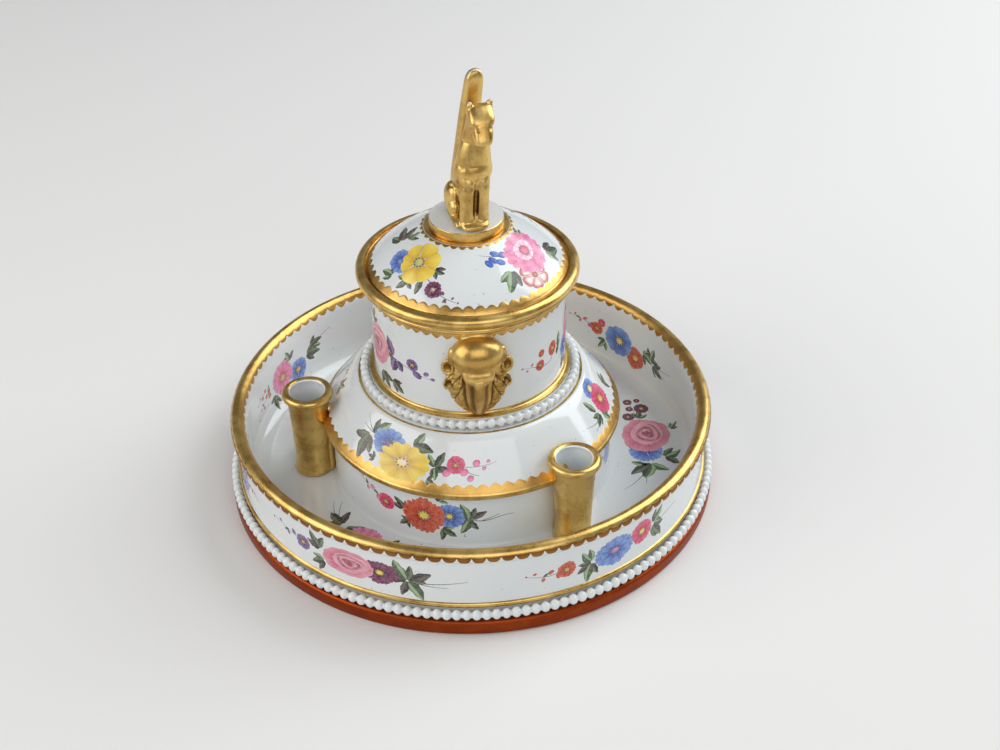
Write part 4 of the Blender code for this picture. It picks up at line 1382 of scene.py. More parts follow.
# %% [markdown]
# ## Flower painting
# The painter worked in thin enamel over the fired glaze: one loaded stroke to a petal or leaf, a
# darker line where the brush was pressed, white left to shine through. Here each stroke is a small
# domed patch with colours at its points. It is written on flat paper, in millimetres along and up,
# and a skin bends the paper onto the china.

# %%
# The paper, the brush and the colours
def paint(red, green, blue):
    """A colour from a colour card, 0 to 255, as light."""
    parts = np.array((red, green, blue), float) / 255
    return np.where(parts <= 0.04045, parts / 12.92, ((parts + 0.055) / 1.055) ** 2.4)


PINK = (paint(244, 160, 200), paint(224, 84, 144), paint(178, 20, 80))
ROSE = (paint(238, 176, 190), paint(208, 92, 126), paint(140, 24, 56))
CRIMSON = (paint(238, 96, 140), paint(210, 32, 88), paint(140, 8, 50))
YELLOW = (paint(252, 230, 90), paint(240, 198, 28), paint(186, 130, 10))
BLUE = (paint(146, 182, 234), paint(62, 104, 196), paint(24, 44, 120))
ORANGE = (paint(228, 108, 56), paint(196, 50, 18), paint(118, 16, 10))
PURPLE = (paint(152, 54, 110), paint(86, 14, 62), paint(40, 4, 34))
VIOLET = (paint(152, 118, 178), paint(94, 60, 122), paint(46, 26, 68))
WHITE_RED = (paint(206, 52, 30), paint(246, 232, 224), paint(226, 190, 180))
OCHRE = (paint(238, 204, 96), paint(200, 150, 48), paint(124, 78, 22))
SAGE = (paint(164, 194, 140), paint(88, 122, 72), paint(28, 40, 24))
OLIVE = (paint(116, 130, 92), paint(60, 70, 46), paint(24, 28, 20))
BROWN = (paint(112, 96, 82), paint(66, 52, 44), paint(30, 24, 22))
STALK = paint(48, 42, 38)
WHITE = (paint(246, 240, 236), paint(244, 232, 226), paint(224, 176, 164))
RED_RIM = paint(196, 40, 30)
GROUND = 0.012
LAYER = 0.010
EDGE_SINKS = 2.2


class Skin:
    """A turned surface unrolled: along the turn, and up the profile from its first point."""

    def __init__(self, profile, flip=False):
        self.points = np.array(profile, float)
        steps = np.diff(self.points, axis=0)
        lengths = np.hypot(steps[:, 0], steps[:, 1])
        self.marks = np.concatenate(([0.0], np.cumsum(lengths)))
        ways = np.stack((steps[:, 1], -steps[:, 0]), 1) / lengths[:, None] * (-1 if flip else 1)
        self.ways = np.vstack((ways[:1], (ways[:-1] + ways[1:]) / 2, ways[-1:]))

    def bend(self, azimuth, across, along, lift):
        r = np.interp(along, self.marks, self.points[:, 0])
        z = np.interp(along, self.marks, self.points[:, 1])
        out_r = np.interp(along, self.marks, self.ways[:, 0])
        out_z = np.interp(along, self.marks, self.ways[:, 1])
        turn = math.radians(azimuth) + across / r
        reach = r + out_r * lift
        spots = np.stack((reach * np.cos(turn), reach * np.sin(turn), z + out_z * lift), -1)
        ways = np.stack((out_r * np.cos(turn), out_r * np.sin(turn), out_z), -1)
        return spots, ways


class Paper:
    """Strokes for one skin, gathered into one mesh."""

    def __init__(self, skin, seed):
        self.skin = skin
        self.luck = random.Random(seed)
        self.spots, self.ways, self.colours, self.faces = [], [], [], []
        self.count = 0
        self.at(0.0, 0.0)

    def at(self, azimuth, along, turn=0.0, flip=1.0, wide=1.0):
        """Put the pencil at a place; turn, flip and wide lay the pattern another way round, or broader."""
        self.azimuth, self.along = azimuth, along
        self.turn, self.flip = math.radians(turn), flip * wide
        return self

    def lay(self, u, v, colour, sunk, level):
        """One stroke: grids of places, colours, and how far each point sinks into the glaze."""
        u, v = u * self.flip, v + 0.0 * u
        across = u * math.cos(self.turn) - v * math.sin(self.turn)
        up = u * math.sin(self.turn) + v * math.cos(self.turn) + self.along
        lift = GROUND + LAYER * level - sunk * LAYER * EDGE_SINKS
        spots, ways = self.skin.bend(self.azimuth, across, up, lift)
        rows, columns = u.shape
        index = np.arange(rows * columns).reshape(rows, columns) + self.count
        quads = np.stack((index[:-1, :-1], index[1:, :-1], index[1:, 1:], index[:-1, 1:]), -1).reshape(-1, 4)
        flat = spots.reshape(-1, 3)
        local = quads - self.count
        normal = np.cross(flat[local[:, 2]] - flat[local[:, 0]], flat[local[:, 3]] - flat[local[:, 1]])
        wrong = (normal * ways.reshape(-1, 3)[local[:, 0]]).sum(1) < 0
        quads[wrong] = quads[wrong][:, ::-1]
        self.spots.append(flat)
        self.ways.append(ways.reshape(-1, 3))
        self.colours.append(np.broadcast_to(colour, (rows, columns, 3)).reshape(-1, 3))
        self.faces.append(quads)
        self.count += rows * columns

    def finish(self, name, body):
        spots = np.concatenate(self.spots) * MM
        faces = np.concatenate(self.faces)
        colours = np.concatenate(self.colours)
        mesh = bpy.data.meshes.new(name)
        mesh.from_pydata(spots.tolist(), [], faces.tolist())
        layer = mesh.color_attributes.new("paint", "FLOAT_COLOR", "POINT")
        layer.data.foreach_set("color", np.c_[colours, np.ones(len(colours))].astype(np.float32).ravel())
        mesh.materials.append(FINISH["enamel"])
        mesh.shade_smooth()
        finished(name, mesh, body)
        print(name, len(faces), "faces")


def between(low, high, share):
    share = np.clip(share, 0, 1)[..., None]
    return low * (1 - share) + high * share


print("paper and brush ready")


# %% [markdown]
# ## Strokes
# Four strokes draw everything: a petal that fans out from the middle of a flower, a leaf with a
# dark outline and rib, a line for stems, and a dot for buds and seeds. Flowers are rings of petals,
# and a rose adds curved strokes that close round its heart.

# %%
# Petal, leaf, line and dot
LOBES = 0.10
SEEDS = 9
STALK_EDGE = paint(150, 144, 132)


def petal(paper, u, v, start, end, turn, half, colours, level, notch, squash, veins, outline=None):
    """One petal: light at its tip or edge, deep at its foot, its width given as half an angle."""
    t = np.linspace(0, 1, 7)[:, None]
    s = np.linspace(-1, 1, 9)[None, :]
    tip = (1 - 0.16 * s ** 4) * (1 - notch * np.exp(-(s / 0.28) ** 2))
    reach = start + (end * tip - start) * t
    angle = turn + half * s * (0.62 + 0.38 * np.sin(np.clip(t * 1.25, 0, 1) * math.pi / 2))
    x, y = reach * np.cos(angle), reach * np.sin(angle)
    squeeze, way = squash
    c, w = math.cos(way), math.sin(way)
    px, py = (x * c + y * w), (-x * w + y * c) * squeeze
    x, y = px * c - py * w, px * w + py * c
    light, mid, deep = colours
    luck = paper.luck.uniform(-0.12, 0.12)
    shade = between(deep, mid, 0.25 + 1.5 * t + 0 * s)
    shade = between(shade, light, (t - 0.35 + luck) * 1.2 * (1 - 0.5 * s ** 2))
    streak = 0.5 - 0.5 * np.cos(s * math.pi * veins + paper.luck.uniform(-0.5, 0.5))
    shade = between(shade, deep, 0.30 * streak * (1 - t * 0.7))
    rim = np.abs(s) ** 6 * 0.55 + 0 * t
    shade = between(shade, deep, rim)
    if outline is not None:
        shade = between(shade, outline, np.clip((np.maximum(np.abs(s), t) - 0.66) / 0.2, 0, 1))
    sunk = np.maximum(np.abs(s) > 0.99, t > 0.99).astype(float) + 0 * t
    paper.lay(u + x, v + y, shade, sunk, level)


def leaf(paper, turn, length, width, colours, level=0, bend=0.0, at=(0.0, 0.0)):
    """A leaf with a dark outline and rib, one half lighter than the other."""
    t = np.linspace(0, 1, 11)[:, None]
    s = np.array((-1, -0.84, -0.5, -0.13, 0, 0.13, 0.5, 0.84, 1))[None, :]
    fullness = np.sin(math.pi * np.clip(t, 0.012, 0.985) ** 0.8) ** 0.75
    ripple = 1 + LOBES * np.sin(t * 16 + paper.luck.uniform(0, 6))
    x = t * length
    y = s * fullness * width / 2 * ripple
    angle = turn + bend * (t - 0.3)
    light, mid, deep = colours
    shade = between(light, mid, 0.5 + 0.55 * np.sign(s) + 0.25 * np.cos(t * 18) + 0 * t)
    edge = np.clip((np.abs(s) - 0.74) / 0.2, 0, 1) * 0.9 + np.clip(1 - np.abs(s) / 0.14, 0, 1) * 0.8
    shade = between(shade, deep, np.clip(edge + 0.3 * (1 - t) ** 2 + 0.42 * (s > 0), 0, 1))
    sunk = np.maximum(np.abs(s) > 0.99, (t < 0.01) | (t > 0.99)).astype(float)
    paper.lay(at[0] + x * np.cos(angle) - y * np.sin(angle),
              at[1] + x * np.sin(angle) + y * np.cos(angle), shade, sunk, level)


def line(paper, points, wide, thin, level=0):
    """A thin brush line through points, from wide to thin."""
    rows = np.array(points, float)
    if len(rows) == 2:
        rows = np.vstack((rows[0], rows.mean(0), rows[1]))
    marks = np.linspace(0, 1, len(rows))
    fine = np.linspace(0, 1, 4 * len(rows) + 1)
    curve = np.polyfit(marks, rows, min(3, len(rows) - 1))
    path = np.stack([np.polyval(curve[:, k], fine) for k in range(2)], -1)
    way = np.gradient(path, axis=0)
    way /= np.hypot(way[:, 0], way[:, 1])[:, None]
    s = np.array((-1, 0, 1))[None, :]
    half = (wide + (thin - wide) * fine)[:, None] / 2
    u = path[:, :1] - way[:, 1:] * half * s
    v = path[:, 1:] + way[:, :1] * half * s
    shade = between(STALK, STALK_EDGE, 0.35 * np.abs(s) + 0 * half)
    paper.lay(u, v, shade, np.abs(s) * 0.8 + 0 * half, level)


def dot(paper, width, height, turn, colours, level=2, at=(0.0, 0.0)):
    """A bud, berry or seed: deep on one side, light on the other."""
    t = np.array((0.02, 0.55, 0.86, 1.0))[:, None]
    s = np.linspace(0, 2 * math.pi, 11)[None, :]
    x, y = t * np.cos(s) * width / 2, t * np.sin(s) * height / 2
    light, mid, deep = colours
    shade = between(light, mid, 0.5 + 0.7 * t * np.sin(s + 0.6))
    shade = between(shade, deep, t ** 5 * 0.75 + 0 * s)
    c, w = math.cos(turn), math.sin(turn)
    paper.lay(at[0] + x * c - y * w, at[1] + x * w + y * c, shade, (t > 0.99) + 0.0 * s, level)


print("petal, leaf, line and dot ready")


# %%
# Flowers and sprays
def eye(paper, u, v, size, level, colours):
    """The middle of a flower: a disc with a ring of small seeds."""
    dot(paper, size, size * 0.9, 0.0, colours, level, (u, v))
    for k in range(SEEDS):
        turn = 2 * math.pi * k / SEEDS
        place = (u + 0.40 * size * math.cos(turn), v + 0.36 * size * math.sin(turn))
        dot(paper, size * 0.17, size * 0.14, turn, BROWN, level + 1, place)


def blossom(paper, size, colours, petals, rings=1, level=3, turn=0.0, squash=(1.0, 0.0), notch=0.10,
            middle=0.30, eye_colours=OCHRE, overlap=1.12, outline=None, at=(0.0, 0.0)):
    """An open flower: rings of petals round an eye."""
    u, v = at
    for ring in range(rings):
        end = size / 2 * (1 - 0.27 * ring)
        count = petals if ring == 0 else max(petals - 2 * ring, 5)
        for k in range(count):
            angle = turn + 2 * math.pi * (k + 0.5 * (ring % 2)) / count + paper.luck.uniform(-0.05, 0.05)
            petal(paper, u, v, size * 0.05, end * paper.luck.uniform(0.93, 1.04), angle,
                  math.pi / count * overlap, colours, level + ring * 1.6 + 0.7 * (k % 2),
                  notch, squash, 2.0 if petals < 9 else 1.0, outline)
    eye(paper, u, v, size * middle, level + rings * 1.6 + 1, eye_colours)


def rose(paper, size, colours, level, turn=0.0):
    """A cabbage rose: broad outer petals, a cup, and strokes that turn into its heart."""
    light, mid, deep = colours
    half = size / 2
    for k in range(6):
        angle = turn + 2 * math.pi * k / 6
        petal(paper, 0, 0, half * 0.15, half * paper.luck.uniform(0.92, 1.04), angle, 0.68,
              colours, level + 0.8 * (k % 2), 0.06, (0.86, turn), 3.0)
    u, v = 0.10 * half * math.cos(turn), 0.10 * half * math.sin(turn)
    for k in range(5):
        angle = turn + 0.5 + 2 * math.pi * k / 5
        petal(paper, u, v, half * 0.08, half * 0.70, angle, 0.80,
              (light, (mid + light) / 2, deep), level + 2.2 + 0.8 * (k % 2), 0.0, (0.82, turn), 3.0)
    for k in range(6):
        t = np.linspace(0, 1, 13)[:, None]
        s = np.linspace(-1, 1, 5)[None, :]
        thick = np.sin(math.pi * np.clip(t, 0.02, 0.98)) ** 0.6 * half * 0.11
        r = half * (0.56 - 0.085 * k) + s * thick
        a = turn + 2.2 * k + t * 2.4
        shade = between(light, deep, 0.5 - 0.55 * s + 0.15 * np.cos(t * 9))
        paper.lay(u + r * np.cos(a), v + 0.84 * r * np.sin(a), shade,
                  (np.abs(s) > 0.99) + 0.0 * t, level + 4.0 + 0.5 * k)
    dot(paper, half * 0.22, half * 0.16, turn, (mid, deep, deep * 0.6), level + 7.5, (u, v))


def leaves(paper, turn, size, kinds=(SAGE, OLIVE, BROWN), spread=0.95, at=(0.0, 0.0)):
    """Three leaves from one point."""
    turn = math.radians(turn)
    for k, colours in zip((0, 1, -1), kinds):
        length = size * (1.0 if k == 0 else 0.82) * paper.luck.uniform(0.9, 1.1)
        leaf(paper, turn + k * spread, length, length * 0.46, colours, 0.5 if k == 0 else 0,
             paper.luck.uniform(-0.4, 0.4), at)


def bud_trail(paper, points, size, colours):
    """A thin stem with buds that get smaller towards its end."""
    line(paper, points, 0.22, 0.10, 1)
    path = np.array(points, float)
    count = 2 * len(path) - 1
    for k in range(count):
        share = k / (count - 1) * (len(path) - 1)
        low = min(int(share), len(path) - 2)
        spot = path[low] + (path[low + 1] - path[low]) * (share - low)
        grow = 1 - 0.62 * k / (count - 1)
        offset = (0.45 if k % 2 else -0.45) * size * (0 if k == count - 1 else 1)
        dot(paper, size * grow, size * grow * 0.72, paper.luck.uniform(0, 3), colours,
            at=(spot[0], spot[1] + offset))
        if k % 2 == 0 and k < count - 1:
            leaf(paper, paper.luck.uniform(-2.8, 2.8), size * 0.9, size * 0.4, OLIVE, 1,
                 at=(spot[0], spot[1]))


print("brush strokes ready")


# %% [markdown]
# ## Sprays on every surface
# Each surface gets its own paper: cover, pot, slope, drum, the inside of the tray and its outer wall.
# Flowers that the photograph shows are placed by their turn about the axis and their way up the
# profile. The far side, which it doesn't show, carries sprays of the same kind in a free order.

# %%
# A free spray for the sides that can't be seen
def posy(paper, azimuth, along, size, main, second, buds, flip=1.0, turn=0.0):
    """A main flower with a second behind it, leaves, a trail of buds and a stalk."""
    paper.at(azimuth, along, turn, flip)
    leaves(paper, -20, 0.55 * size, at=(0.45 * size, -0.20 * size))
    leaves(paper, 120, 0.42 * size, (OLIVE, SAGE, BROWN), at=(-0.30 * size, 0.34 * size))
    leaves(paper, 10, 0.40 * size, (SAGE, BROWN, OLIVE), at=(0.62 * size, 0.02 * size))
    line(paper, [(0.6 * size, 0), (1.0 * size, 0.02 * size), (1.45 * size, -0.10 * size)], 0.34, 0.12)
    bud_trail(paper, [(-0.5 * size, 0), (-0.85 * size, 0.10 * size), (-1.25 * size, 0.02 * size)],
              0.15 * size, buds)
    blossom(paper, 0.62 * size, second, 9, level=2.5, turn=0.3, at=(0.50 * size, 0.12 * size))
    if main is ROSE:
        rose(paper, size, main, level=5)
    else:
        many = main is ORANGE or main is PINK
        blossom(paper, size, main, 12 if many else 6, rings=2 if many else 1, level=5)


print("posy ready")


# %%
# Paint the cover
sheet = Paper(Skin(dome_line), seed=21)
leaves(sheet.at(188, 13.5), 165, 7.4, (BROWN, OLIVE, BROWN))
leaves(sheet.at(195, 16.2), 110, 4.1, (SAGE, SAGE, OLIVE))
leaves(sheet.at(212, 5.6), 185, 4.4, (SAGE, SAGE, OLIVE))
leaves(sheet.at(226, 7.2), -110, 4.9, (OLIVE, OLIVE, SAGE))
leaf(sheet.at(236, 8.6), -1.6, 5.0, 2.2, OLIVE)
leaves(sheet.at(243, 12.4), -25, 3.7, (OLIVE, BROWN, OLIVE), spread=0.8)
line(sheet.at(238, 9.4), [(0, 0), (2.0, -1.0), (4.0, -2.6)], 0.39, 0.23)
blossom(sheet.at(210, 10.2), 8.8, BLUE, 12, level=2, turn=0.2, squash=(0.86, 0.0), notch=0.0, middle=0.24,
        eye_colours=BLUE)
blossom(sheet.at(226, 12.8), 13.2, YELLOW, 6, level=5, turn=0.5, notch=0.0, middle=0.28,
        eye_colours=(SAGE[0], OCHRE[0], OLIVE[1]), overlap=1.04)
blossom(sheet.at(246.5, 6.4), 5.4, PURPLE, 7, turn=0.1, notch=0.08, middle=0.26, eye_colours=WHITE_RED)
bud_trail(sheet, [(1.6, -0.6), (4.4, -2.0), (8.2, -3.0)], 1.7, PURPLE)

leaves(sheet.at(344, 17.4), 65, 3.7, (SAGE, OLIVE, SAGE))
leaves(sheet.at(346, 8.6), -40, 7.0, (OLIVE, BROWN, SAGE), spread=0.8)
leaves(sheet.at(304.5, 10.4), -115, 6.8, (SAGE, OLIVE, SAGE), spread=0.7)
line(sheet.at(316, 16.0), [(-2.2, -1.2), (-5.5, 0.2), (-9.5, 1.6)], 0.36, 0.16)
for across, up in ((-3.2, 0.6), (-5.0, 1.6), (-5.2, -1.4), (-6.8, -0.2), (-8.6, -1.0)):
    dot(sheet, 2.2, 2.6, 0.4 * across, (BLUE[1], BLUE[1], BLUE[2]), at=(across, up - 0.6))
blossom(sheet.at(320, 6.4), 10.4, WHITE, 6, level=2, turn=0.2, squash=(0.88, 0.0), notch=0.0, middle=0.20,
        eye_colours=ORANGE, overlap=1.0, outline=RED_RIM)
blossom(sheet.at(329, 13.0), 15.8, PINK, 9, rings=2, level=5, turn=0.1, squash=(0.90, 0.3), notch=0.16,
        middle=0.20, eye_colours=CRIMSON)
blossom(sheet.at(329, 13.8), 8.2, (WHITE[0], PINK[0], PINK[1]), 9, level=9, turn=0.3, squash=(0.82, 0.3),
        middle=0.46, eye_colours=CRIMSON)
posy(sheet, 55, 9.5, 10.4, ORANGE, BLUE, VIOLET)
posy(sheet, 115, 10.0, 10.6, ROSE, YELLOW, PINK, flip=-1.0)
sheet.finish("flowers_on_cover", "lid")


# %%
# Paint the pot
pot_line = [(POT_RADIUS, pot_low + 3.9), (POT_RADIUS, pot_high - 3.0)]
sheet = Paper(Skin(pot_line), seed=22)
leaves(sheet.at(180, 14.5), 150, 6.7, (OLIVE, BROWN, OLIVE))
leaves(sheet.at(209, 5.0), -70, 6.3, (OLIVE, OLIVE, BROWN), spread=0.7)
leaves(sheet.at(219, 4.6), -40, 5.1, (OLIVE, BROWN, OLIVE), spread=0.6)
leaves(sheet.at(196, 20.0), 60, 4.9, (OLIVE, SAGE, BROWN))
rose(sheet.at(202, 13.2), 16.0, ROSE, level=5, turn=0.6)
leaf(sheet.at(214, 13.8), -0.5, 4.8, 1.7, OLIVE)
line(sheet.at(216, 13.0), [(0, 0), (6.0, -0.8), (10.5, -2.0), (16.5, -3.0)], 0.36, 0.16)
leaf(sheet.at(220, 13.4), 1.95, 6.4, 3.2, VIOLET, level=2)
leaf(sheet.at(222, 12.6), -1.9, 5.0, 3.6, VIOLET, level=2)
leaf(sheet.at(224, 12.4), -1.1, 3.6, 2.9, VIOLET, level=2)
blossom(sheet.at(235, 13.4), 4.4, VIOLET, 5, turn=0.4)
dot(sheet.at(238, 10.4), 3.4, 2.3, -0.5, VIOLET, level=3)
dot(sheet.at(244, 11.6), 1.9, 1.5, 0.5, VIOLET)
dot(sheet.at(248, 10.2), 1.5, 1.1, 0.0, VIOLET)

leaf(sheet.at(333, 11.0), 1.5, 6.0, 2.4, SAGE)
leaf(sheet.at(331, 9.0), 1.2, 5.3, 1.9, OLIVE)
leaves(sheet.at(342, 6.0), -60, 6.1, (OLIVE, SAGE, BROWN))
line(sheet.at(327, 12.5), [(-0.5, -2.5), (-4.0, -3.6), (-8.0, -2.4), (-13.0, -1.0)], 0.34, 0.13)
blossom(sheet.at(326, 13.0), 5.6, ORANGE, 6, turn=0.4, squash=(0.8, 1.57), notch=0.05)
blossom(sheet.at(314.5, 10.0), 3.9, ORANGE, 5, turn=0.2)
blossom(sheet.at(315.5, 14.0), 2.7, ORANGE, 5, turn=0.9)
for azimuth, along, size in ((308, 11.6, 1.0), (304.5, 10.2, 0.9), (301, 11.6, 0.8)):
    dot(sheet.at(azimuth, along), size, size * 0.8, 0.4, ORANGE)
blossom(sheet.at(345, 8.5), 8.6, BLUE, 9)
rose(sheet.at(353, 14.0), 12.4, PINK, level=6, turn=2.0)
posy(sheet, 40, 13.0, 10.6, YELLOW, VIOLET, ORANGE)
posy(sheet, 145, 13.0, 11.0, ORANGE, BLUE, PINK, flip=-1.0)
sheet.finish("flowers_on_pot", "stand")


# %%
# Paint the slope of the drum
sheet = Paper(Skin([on_slope(0), slope_end]), seed=23)
leaves(sheet.at(221, 10.0), -108, 7.8, ((OLIVE[0], BROWN[0], BROWN[1]),) * 3, spread=0.75)
leaves(sheet.at(223, 11.0), 60, 6.6, (SAGE, OLIVE, OLIVE), spread=0.8)
line(sheet, [(0, 0), (-3.0, 1.6), (-5.5, 4.2)], 0.39, 0.16)
line(sheet, [(0, 0), (-3.2, 0.4), (-5.4, 1.0)], 0.34, 0.16)
line(sheet, [(0, 0), (2.6, -0.8), (4.6, -2.6)], 0.39, 0.26)
leaves(sheet.at(243.5, 12.0), 10, 6.8, (OLIVE, SAGE, OLIVE), spread=0.8)
leaves(sheet.at(228, 4.6), 175, 2.7, (BROWN, BROWN, OLIVE))
leaves(sheet.at(252, 3.4), -20, 3.4, (SAGE, OLIVE, SAGE))
leaves(sheet.at(254.5, 7.4), 60, 5.6, (OLIVE, SAGE, OLIVE), spread=1.2)
leaves(sheet.at(254.5, 7.2), -70, 3.9, (SAGE, OLIVE, BROWN), spread=0.8)
blossom(sheet.at(232, 10.4, wide=1.3), 9.8, BLUE, 13, level=2, turn=0.2, squash=(0.9, 0.0), notch=0.0,
        middle=0.25, eye_colours=VIOLET)
blossom(sheet.at(240.5, 6.6, wide=1.5), 12.0, YELLOW, 8, level=5, turn=0.2, notch=0.14, middle=0.26,
        eye_colours=(YELLOW[0], WHITE_RED[1], OCHRE[1]))
line(sheet.at(255, 7.6), [(0, 0), (6.0, 0.4), (12.0, 0.6), (17.5, 1.6)], 0.34, 0.13)
line(sheet, [(7.5, 0.4), (10.5, -1.4), (13.0, -2.0)], 0.26, 0.13)
blossom(sheet.at(263, 8.6), 5.6, CRIMSON, 5, turn=0.4, notch=0.05, middle=0.22)
for azimuth, along, size in ((259.5, 6.2, 2.2), (266.5, 6.6, 2.2), (271.5, 9.2, 2.0),
                             (269, 4.8, 1.8), (274.5, 7.6, 1.1), (276.5, 9.6, 1.0)):
    dot(sheet.at(azimuth, along), 1.2 * size, size, 0.5, PINK)

leaf(sheet.at(337, 8.0), 2.0, 6.2, 2.3, SAGE)
leaves(sheet.at(338, 6.6), -160, 4.9, (OLIVE, SAGE, OLIVE), spread=0.6)
leaves(sheet.at(340, 6.2), -25, 5.9, (OLIVE, BROWN, SAGE), spread=0.7)
line(sheet.at(338, 6.4), [(0, 0), (-4.0, -0.6), (-9.0, 0.8)], 0.39, 0.16)
line(sheet, [(0, 0), (-3.0, -1.6), (-6.5, -2.2)], 0.34, 0.16)
leaves(sheet.at(358, 7.5), 0, 5.4, (OLIVE, SAGE, BROWN), spread=0.8)
blossom(sheet.at(344.5, 13.6), 8.4, BLUE, 7, turn=0.2, squash=(0.85, 0.0), notch=0.05, middle=0.36,
        eye_colours=(WHITE_RED[1], YELLOW[0], OCHRE[2]))
blossom(sheet.at(346.0, 8.8), 10.4, CRIMSON, 13, level=5, turn=0.1, squash=(0.95, 0.0),
        eye_colours=(YELLOW[0], ORANGE[0], ORANGE[1]))
bud_trail(sheet.at(178, 10.0), [(0, 0), (-4.0, 2.0), (-8.0, 3.2)], 1.7, CRIMSON)
leaves(sheet.at(180, 9.0), 30, 4.4)
posy(sheet, 40, 8.2, 11.2, ROSE, VIOLET, ORANGE)
posy(sheet, 92, 8.2, 11.2, YELLOW, BLUE, CRIMSON, flip=-1.0)
posy(sheet, 143, 8.2, 11.0, PINK, YELLOW, VIOLET)
sheet.finish("flowers_on_slope", "stand")


# %%
# Paint the drum's wall
drum_line = [(DRUM_RADIUS, drum_low + 0.8), (DRUM_RADIUS, DRUM_ROLL_HEIGHT - DRUM_ROLL - 0.6)]
sheet = Paper(Skin(drum_line), seed=24)
leaves(sheet.at(241.5, 9.4), 120, 4.6, (OLIVE, BROWN, SAGE))
leaves(sheet.at(243.5, 5.2), -150, 3.7, (OLIVE, BROWN, OLIVE))
leaves(sheet.at(256.5, 15.0), 60, 3.4, (SAGE, OLIVE, SAGE))
leaves(sheet.at(257.5, 4.8), -35, 5.4, (OLIVE, SAGE, OLIVE), spread=0.8)
leaves(sheet.at(267.5, 8.8), 100, 6.1, (SAGE, OLIVE, OLIVE), spread=0.9)
leaves(sheet.at(268.0, 8.6), -105, 5.9, (SAGE, OLIVE, BROWN), spread=0.8)
leaf(sheet.at(268.5, 9.0), 0.5, 5.8, 2.4, BROWN)
line(sheet.at(268.0, 8.8), [(0, 0), (5.0, -0.6), (9.0, 0.4), (13.5, 0.8)], 0.44, 0.21)
line(sheet, [(4.0, -0.5), (7.0, 0.6), (9.0, 1.4)], 0.31, 0.16)
blossom(sheet.at(260.5, 9.8), 10.0, BLUE, 11, level=2, turn=0.2, squash=(0.95, 0.0), middle=0.24,
        eye_colours=YELLOW)
blossom(sheet.at(250.2, 8.8), 14.0, ORANGE, 13, rings=2, level=5, turn=0.1, squash=(0.98, 0.0), middle=0.28,
        eye_colours=(YELLOW[0], OCHRE[0], OCHRE[2]))
blossom(sheet.at(233.5, 9.5), 6.4, CRIMSON, 9, turn=0.2, squash=(0.95, 0.0), notch=0.08)
bud_trail(sheet.at(229.5, 10.8), [(0, 0), (-4.2, 1.6), (-8.6, 4.4)], 2.3, PINK)
posy(sheet, 345, 8.8, 10.8, BLUE, VIOLET, CRIMSON)
posy(sheet, 20, 8.8, 10.8, YELLOW, PINK, ORANGE, flip=-1.0)
posy(sheet, 100, 8.8, 11.2, ROSE, BLUE, VIOLET)
posy(sheet, 150, 8.8, 10.8, ORANGE, YELLOW, PINK, flip=-1.0)
sheet.finish("flowers_on_drum", "stand")


# %% [markdown]
# ## The tray's inside and outside
# Floor, cove and inner wall are one sheet of paper, so a spray can climb from one to the other.
# There, up means away from the middle, and then up the wall.

# %%
# Paint the inside of the tray
BOWL_START = 45.0
bowl = Skin([(BOWL_START, floor_top)] + inner_line, flip=True)
WALL_START = float(bowl.marks[-3]) - (floor_top + COVE)
sheet = Paper(bowl, seed=25)


def on_wall(azimuth, height):
    """A place on the inner wall, by its height over the table."""
    return sheet.at(azimuth, WALL_START + height)


def on_floor(azimuth, radius):
    """A place on the tray's floor, by its distance from the axis."""
    return sheet.at(azimuth, radius - BOWL_START)


leaves(on_wall(33, 15.2), 185, 5.6, (SAGE, OLIVE, SAGE), spread=0.9)
leaves(on_wall(29.5, 14.8), 110, 6.1, (SAGE, OLIVE, BROWN), spread=0.9)
leaves(on_wall(28.0, 14.0), 215, 5.6, (OLIVE, SAGE, BROWN), spread=0.8)
line(sheet, [(0, 0), (-5.0, 0.6), (-11.0, 2.4)], 0.42, 0.18)
line(sheet, [(0, 0), (-4.0, -1.4), (-8.0, -1.6)], 0.34, 0.16)
leaves(on_wall(47.5, 11.5), -40, 4.4, (SAGE, OLIVE, SAGE))
blossom(on_wall(36.0, 11.6), 9.2, ORANGE, 11, rings=2, level=4, turn=0.2, squash=(0.95, 0.0), notch=0.08,
        middle=0.34, eye_colours=(YELLOW[0], ORANGE[0], OCHRE[1]))
blossom(on_wall(42.4, 14.6), 12.6, BLUE, 6, level=7, turn=0.4, squash=(0.95, 0.0), notch=0.08, middle=0.28,
        eye_colours=(YELLOW[0], OCHRE[0], BLUE[2]))
blossom(on_wall(50.6, 15.6), 5.2, ORANGE, 6)
blossom(on_wall(49.0, 18.4), 3.4, CRIMSON, 6)
bud_trail(on_wall(53.0, 16.4), [(0, 0), (4.0, 1.0), (8.0, 1.6)], 2.0, CRIMSON)

leaves(on_wall(142.5, 15.8), 190, 6.6, (OLIVE, BROWN, OLIVE), spread=0.8)
leaves(on_wall(140.5, 17.6), 150, 5.4, (OLIVE, SAGE, BROWN), spread=0.8)
line(sheet, [(0, 0), (-4.0, 1.6), (-9.0, 3.4)], 0.44, 0.18)
leaves(on_wall(150, 18.4), 80, 4.9, (SAGE, OLIVE, SAGE), spread=0.8)
leaves(on_wall(158, 10.8), -60, 5.4, (OLIVE, BROWN, OLIVE), spread=0.8)
blossom(on_wall(146.6, 12.4), 9.6, BLUE, 9, turn=0.3, squash=(0.95, 0.0), notch=0.08, middle=0.28)
blossom(on_wall(154.0, 14.8), 13.0, PINK, 13, rings=2, level=6, turn=0.1, squash=(0.96, 0.0), middle=0.26)
bud_trail(on_wall(161.5, 14.6), [(0, 0), (5.0, -1.4), (10.5, -3.6)], 2.3, ORANGE)
bud_trail(on_wall(162.0, 16.4), [(0, 0), (5.0, 0.6), (9.5, 0.0)], 2.1, ORANGE)

